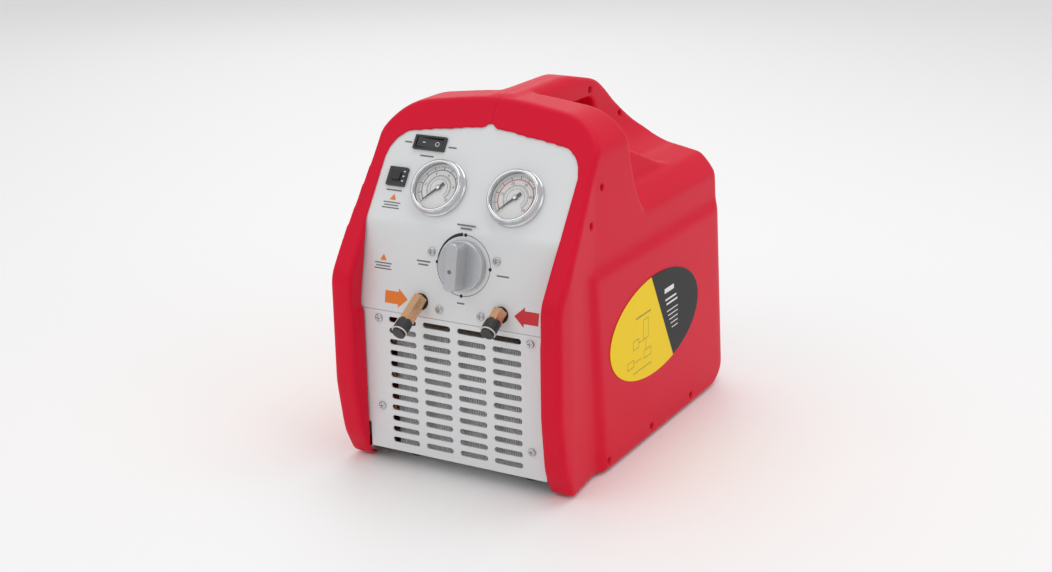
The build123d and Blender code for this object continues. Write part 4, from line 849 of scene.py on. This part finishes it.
def strap_ring(bm, place):
    """Round ring about the cap's end."""
    rows = []
    for i in range(STRAP_RING_STEPS):
        a = 2 * pi * i / STRAP_RING_STEPS
        row = []
        for j in range(STRAP_ROUND_STEPS):
            b = 2 * pi * j / STRAP_ROUND_STEPS
            r = STRAP_RING_R + STRAP_RING_THICKNESS * cos(b)
            z = STRAP_RING_HEIGHT + STRAP_RING_THICKNESS * sin(b)
            row.append(bm.verts.new(place @ (Vector((r * cos(a), r * sin(a), z)) * MM)))
        rows.append(row)
    for a, b in zip(rows, rows[1:] + rows[:1]):
        join_rings(bm, a, b)


def make_strap(which, place):
    """Pale leash: a band beside the fitting and a ring round the cap's end."""
    bm = bmesh.new()
    strap_band(bm, place)
    strap_ring(bm, place)
    bmesh.ops.recalc_face_normals(bm, faces=bm.faces)
    mesh = mesh_from(bm, which + "_cap_leash")
    smooth(mesh)
    mesh.set_sharp_from_angle(angle=radians(40))
    piece = new_piece(which + "_cap_leash", mesh, which + "_cap", "pale_strap")
    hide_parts(which + "_cap_strap")


PORT_HEX_R = 7.6                # over the corners
PORT_HEX_INSET = 1.0            # its ends narrow by this much
PORT_HEX_INNER_R = 5.25
PORT_HEX_SETBACK = 16.0         # start, ahead of the fitting's rear end
PORT_HEX_LATEST = -9.0          # and no nearer the cap's middle than this
PORT_HEX_END = -6.2


def make_port_hex(which, place):
    """Hexagonal body of a hose fitting, between the elbow and its cap."""
    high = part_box(which + "_fitting")[1]
    rear = place.inverted() @ Vector((centre(which + "_cap").x, high.y, high.z))
    start = min(rear.z / MM + PORT_HEX_SETBACK, PORT_HEX_LATEST)
    narrow = PORT_HEX_R - PORT_HEX_INSET
    profile = rounded_profile([(narrow, start), (PORT_HEX_R, start + 0.8), (PORT_HEX_R, -6.9),
                               (narrow, PORT_HEX_END)], 0.3)
    lathe(which + "_fitting_hex", place,
          [(PORT_HEX_INNER_R, start), *profile, (PORT_HEX_INNER_R, PORT_HEX_END)], "machine",
          "brass_fittings", steps=6)


CAP_PROFILE = [(7.05, -6.0), (7.35, -5.4), (7.35, 4.2), (6.5, 5.0)]
CAP_INNER_R = 5.4
CAP_RIBS, CAP_RIB_DEPTH = 24, 0.55


def make_ports():
    for which in ("inlet", "outlet"):
        place = face_frame(centre(which + "_cap"), Vector(joints[which + "_cap_pull"]["axis"]))
        ribs = rounded_profile(CAP_PROFILE, 0.5)
        ends = [(CAP_INNER_R, CAP_PROFILE[0][1]), (CAP_INNER_R, CAP_PROFILE[-1][1])]
        lathe(which + "_cap_grip", place, [ends[0], *ribs, ends[1]], which + "_cap", "black_plastic",
              steps=144, ribs=CAP_RIBS, rib_depth=CAP_RIB_DEPTH, rib_from=1,
              rib_to=len(ribs))
        make_strap(which, place)
        make_port_hex(which, place)


SOFTENED = {                    # width of the rounded edges, in mm
    "selector_knob": 0.7, "grille_plate": 0.25, "control_panel": 0.3, "switch_housing": 0.4,
    "breaker_housing": 0.4, "power_inlet": 0.5, "rear_panel": 0.3, "port_grommets": 0.4,
    "inlet_cap": 0.4, "outlet_cap": 0.4, "panel_screws": 0.15, "breaker_button": 0.3,
    "switch_rocker": 0.3}


def finish_cad_nodes():
    """Finish from the record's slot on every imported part, and small rounded edges where they show."""
    slots = {s["node"]: s["material_slot"] for s in frame["record"]["subparts"]}
    for name, node in frame["nodes"].items():
        paint(node, slots[name])
        if name in SOFTENED:
            soften(node, SOFTENED[name] * MM)


make_camera()
make_studio()
make_materials()
finish_cad_nodes()
make_case()
make_gauges()
make_printing()
make_label_material()
make_label_print()
make_switch_marks()
make_knob_dot()
make_fins()
make_ports()
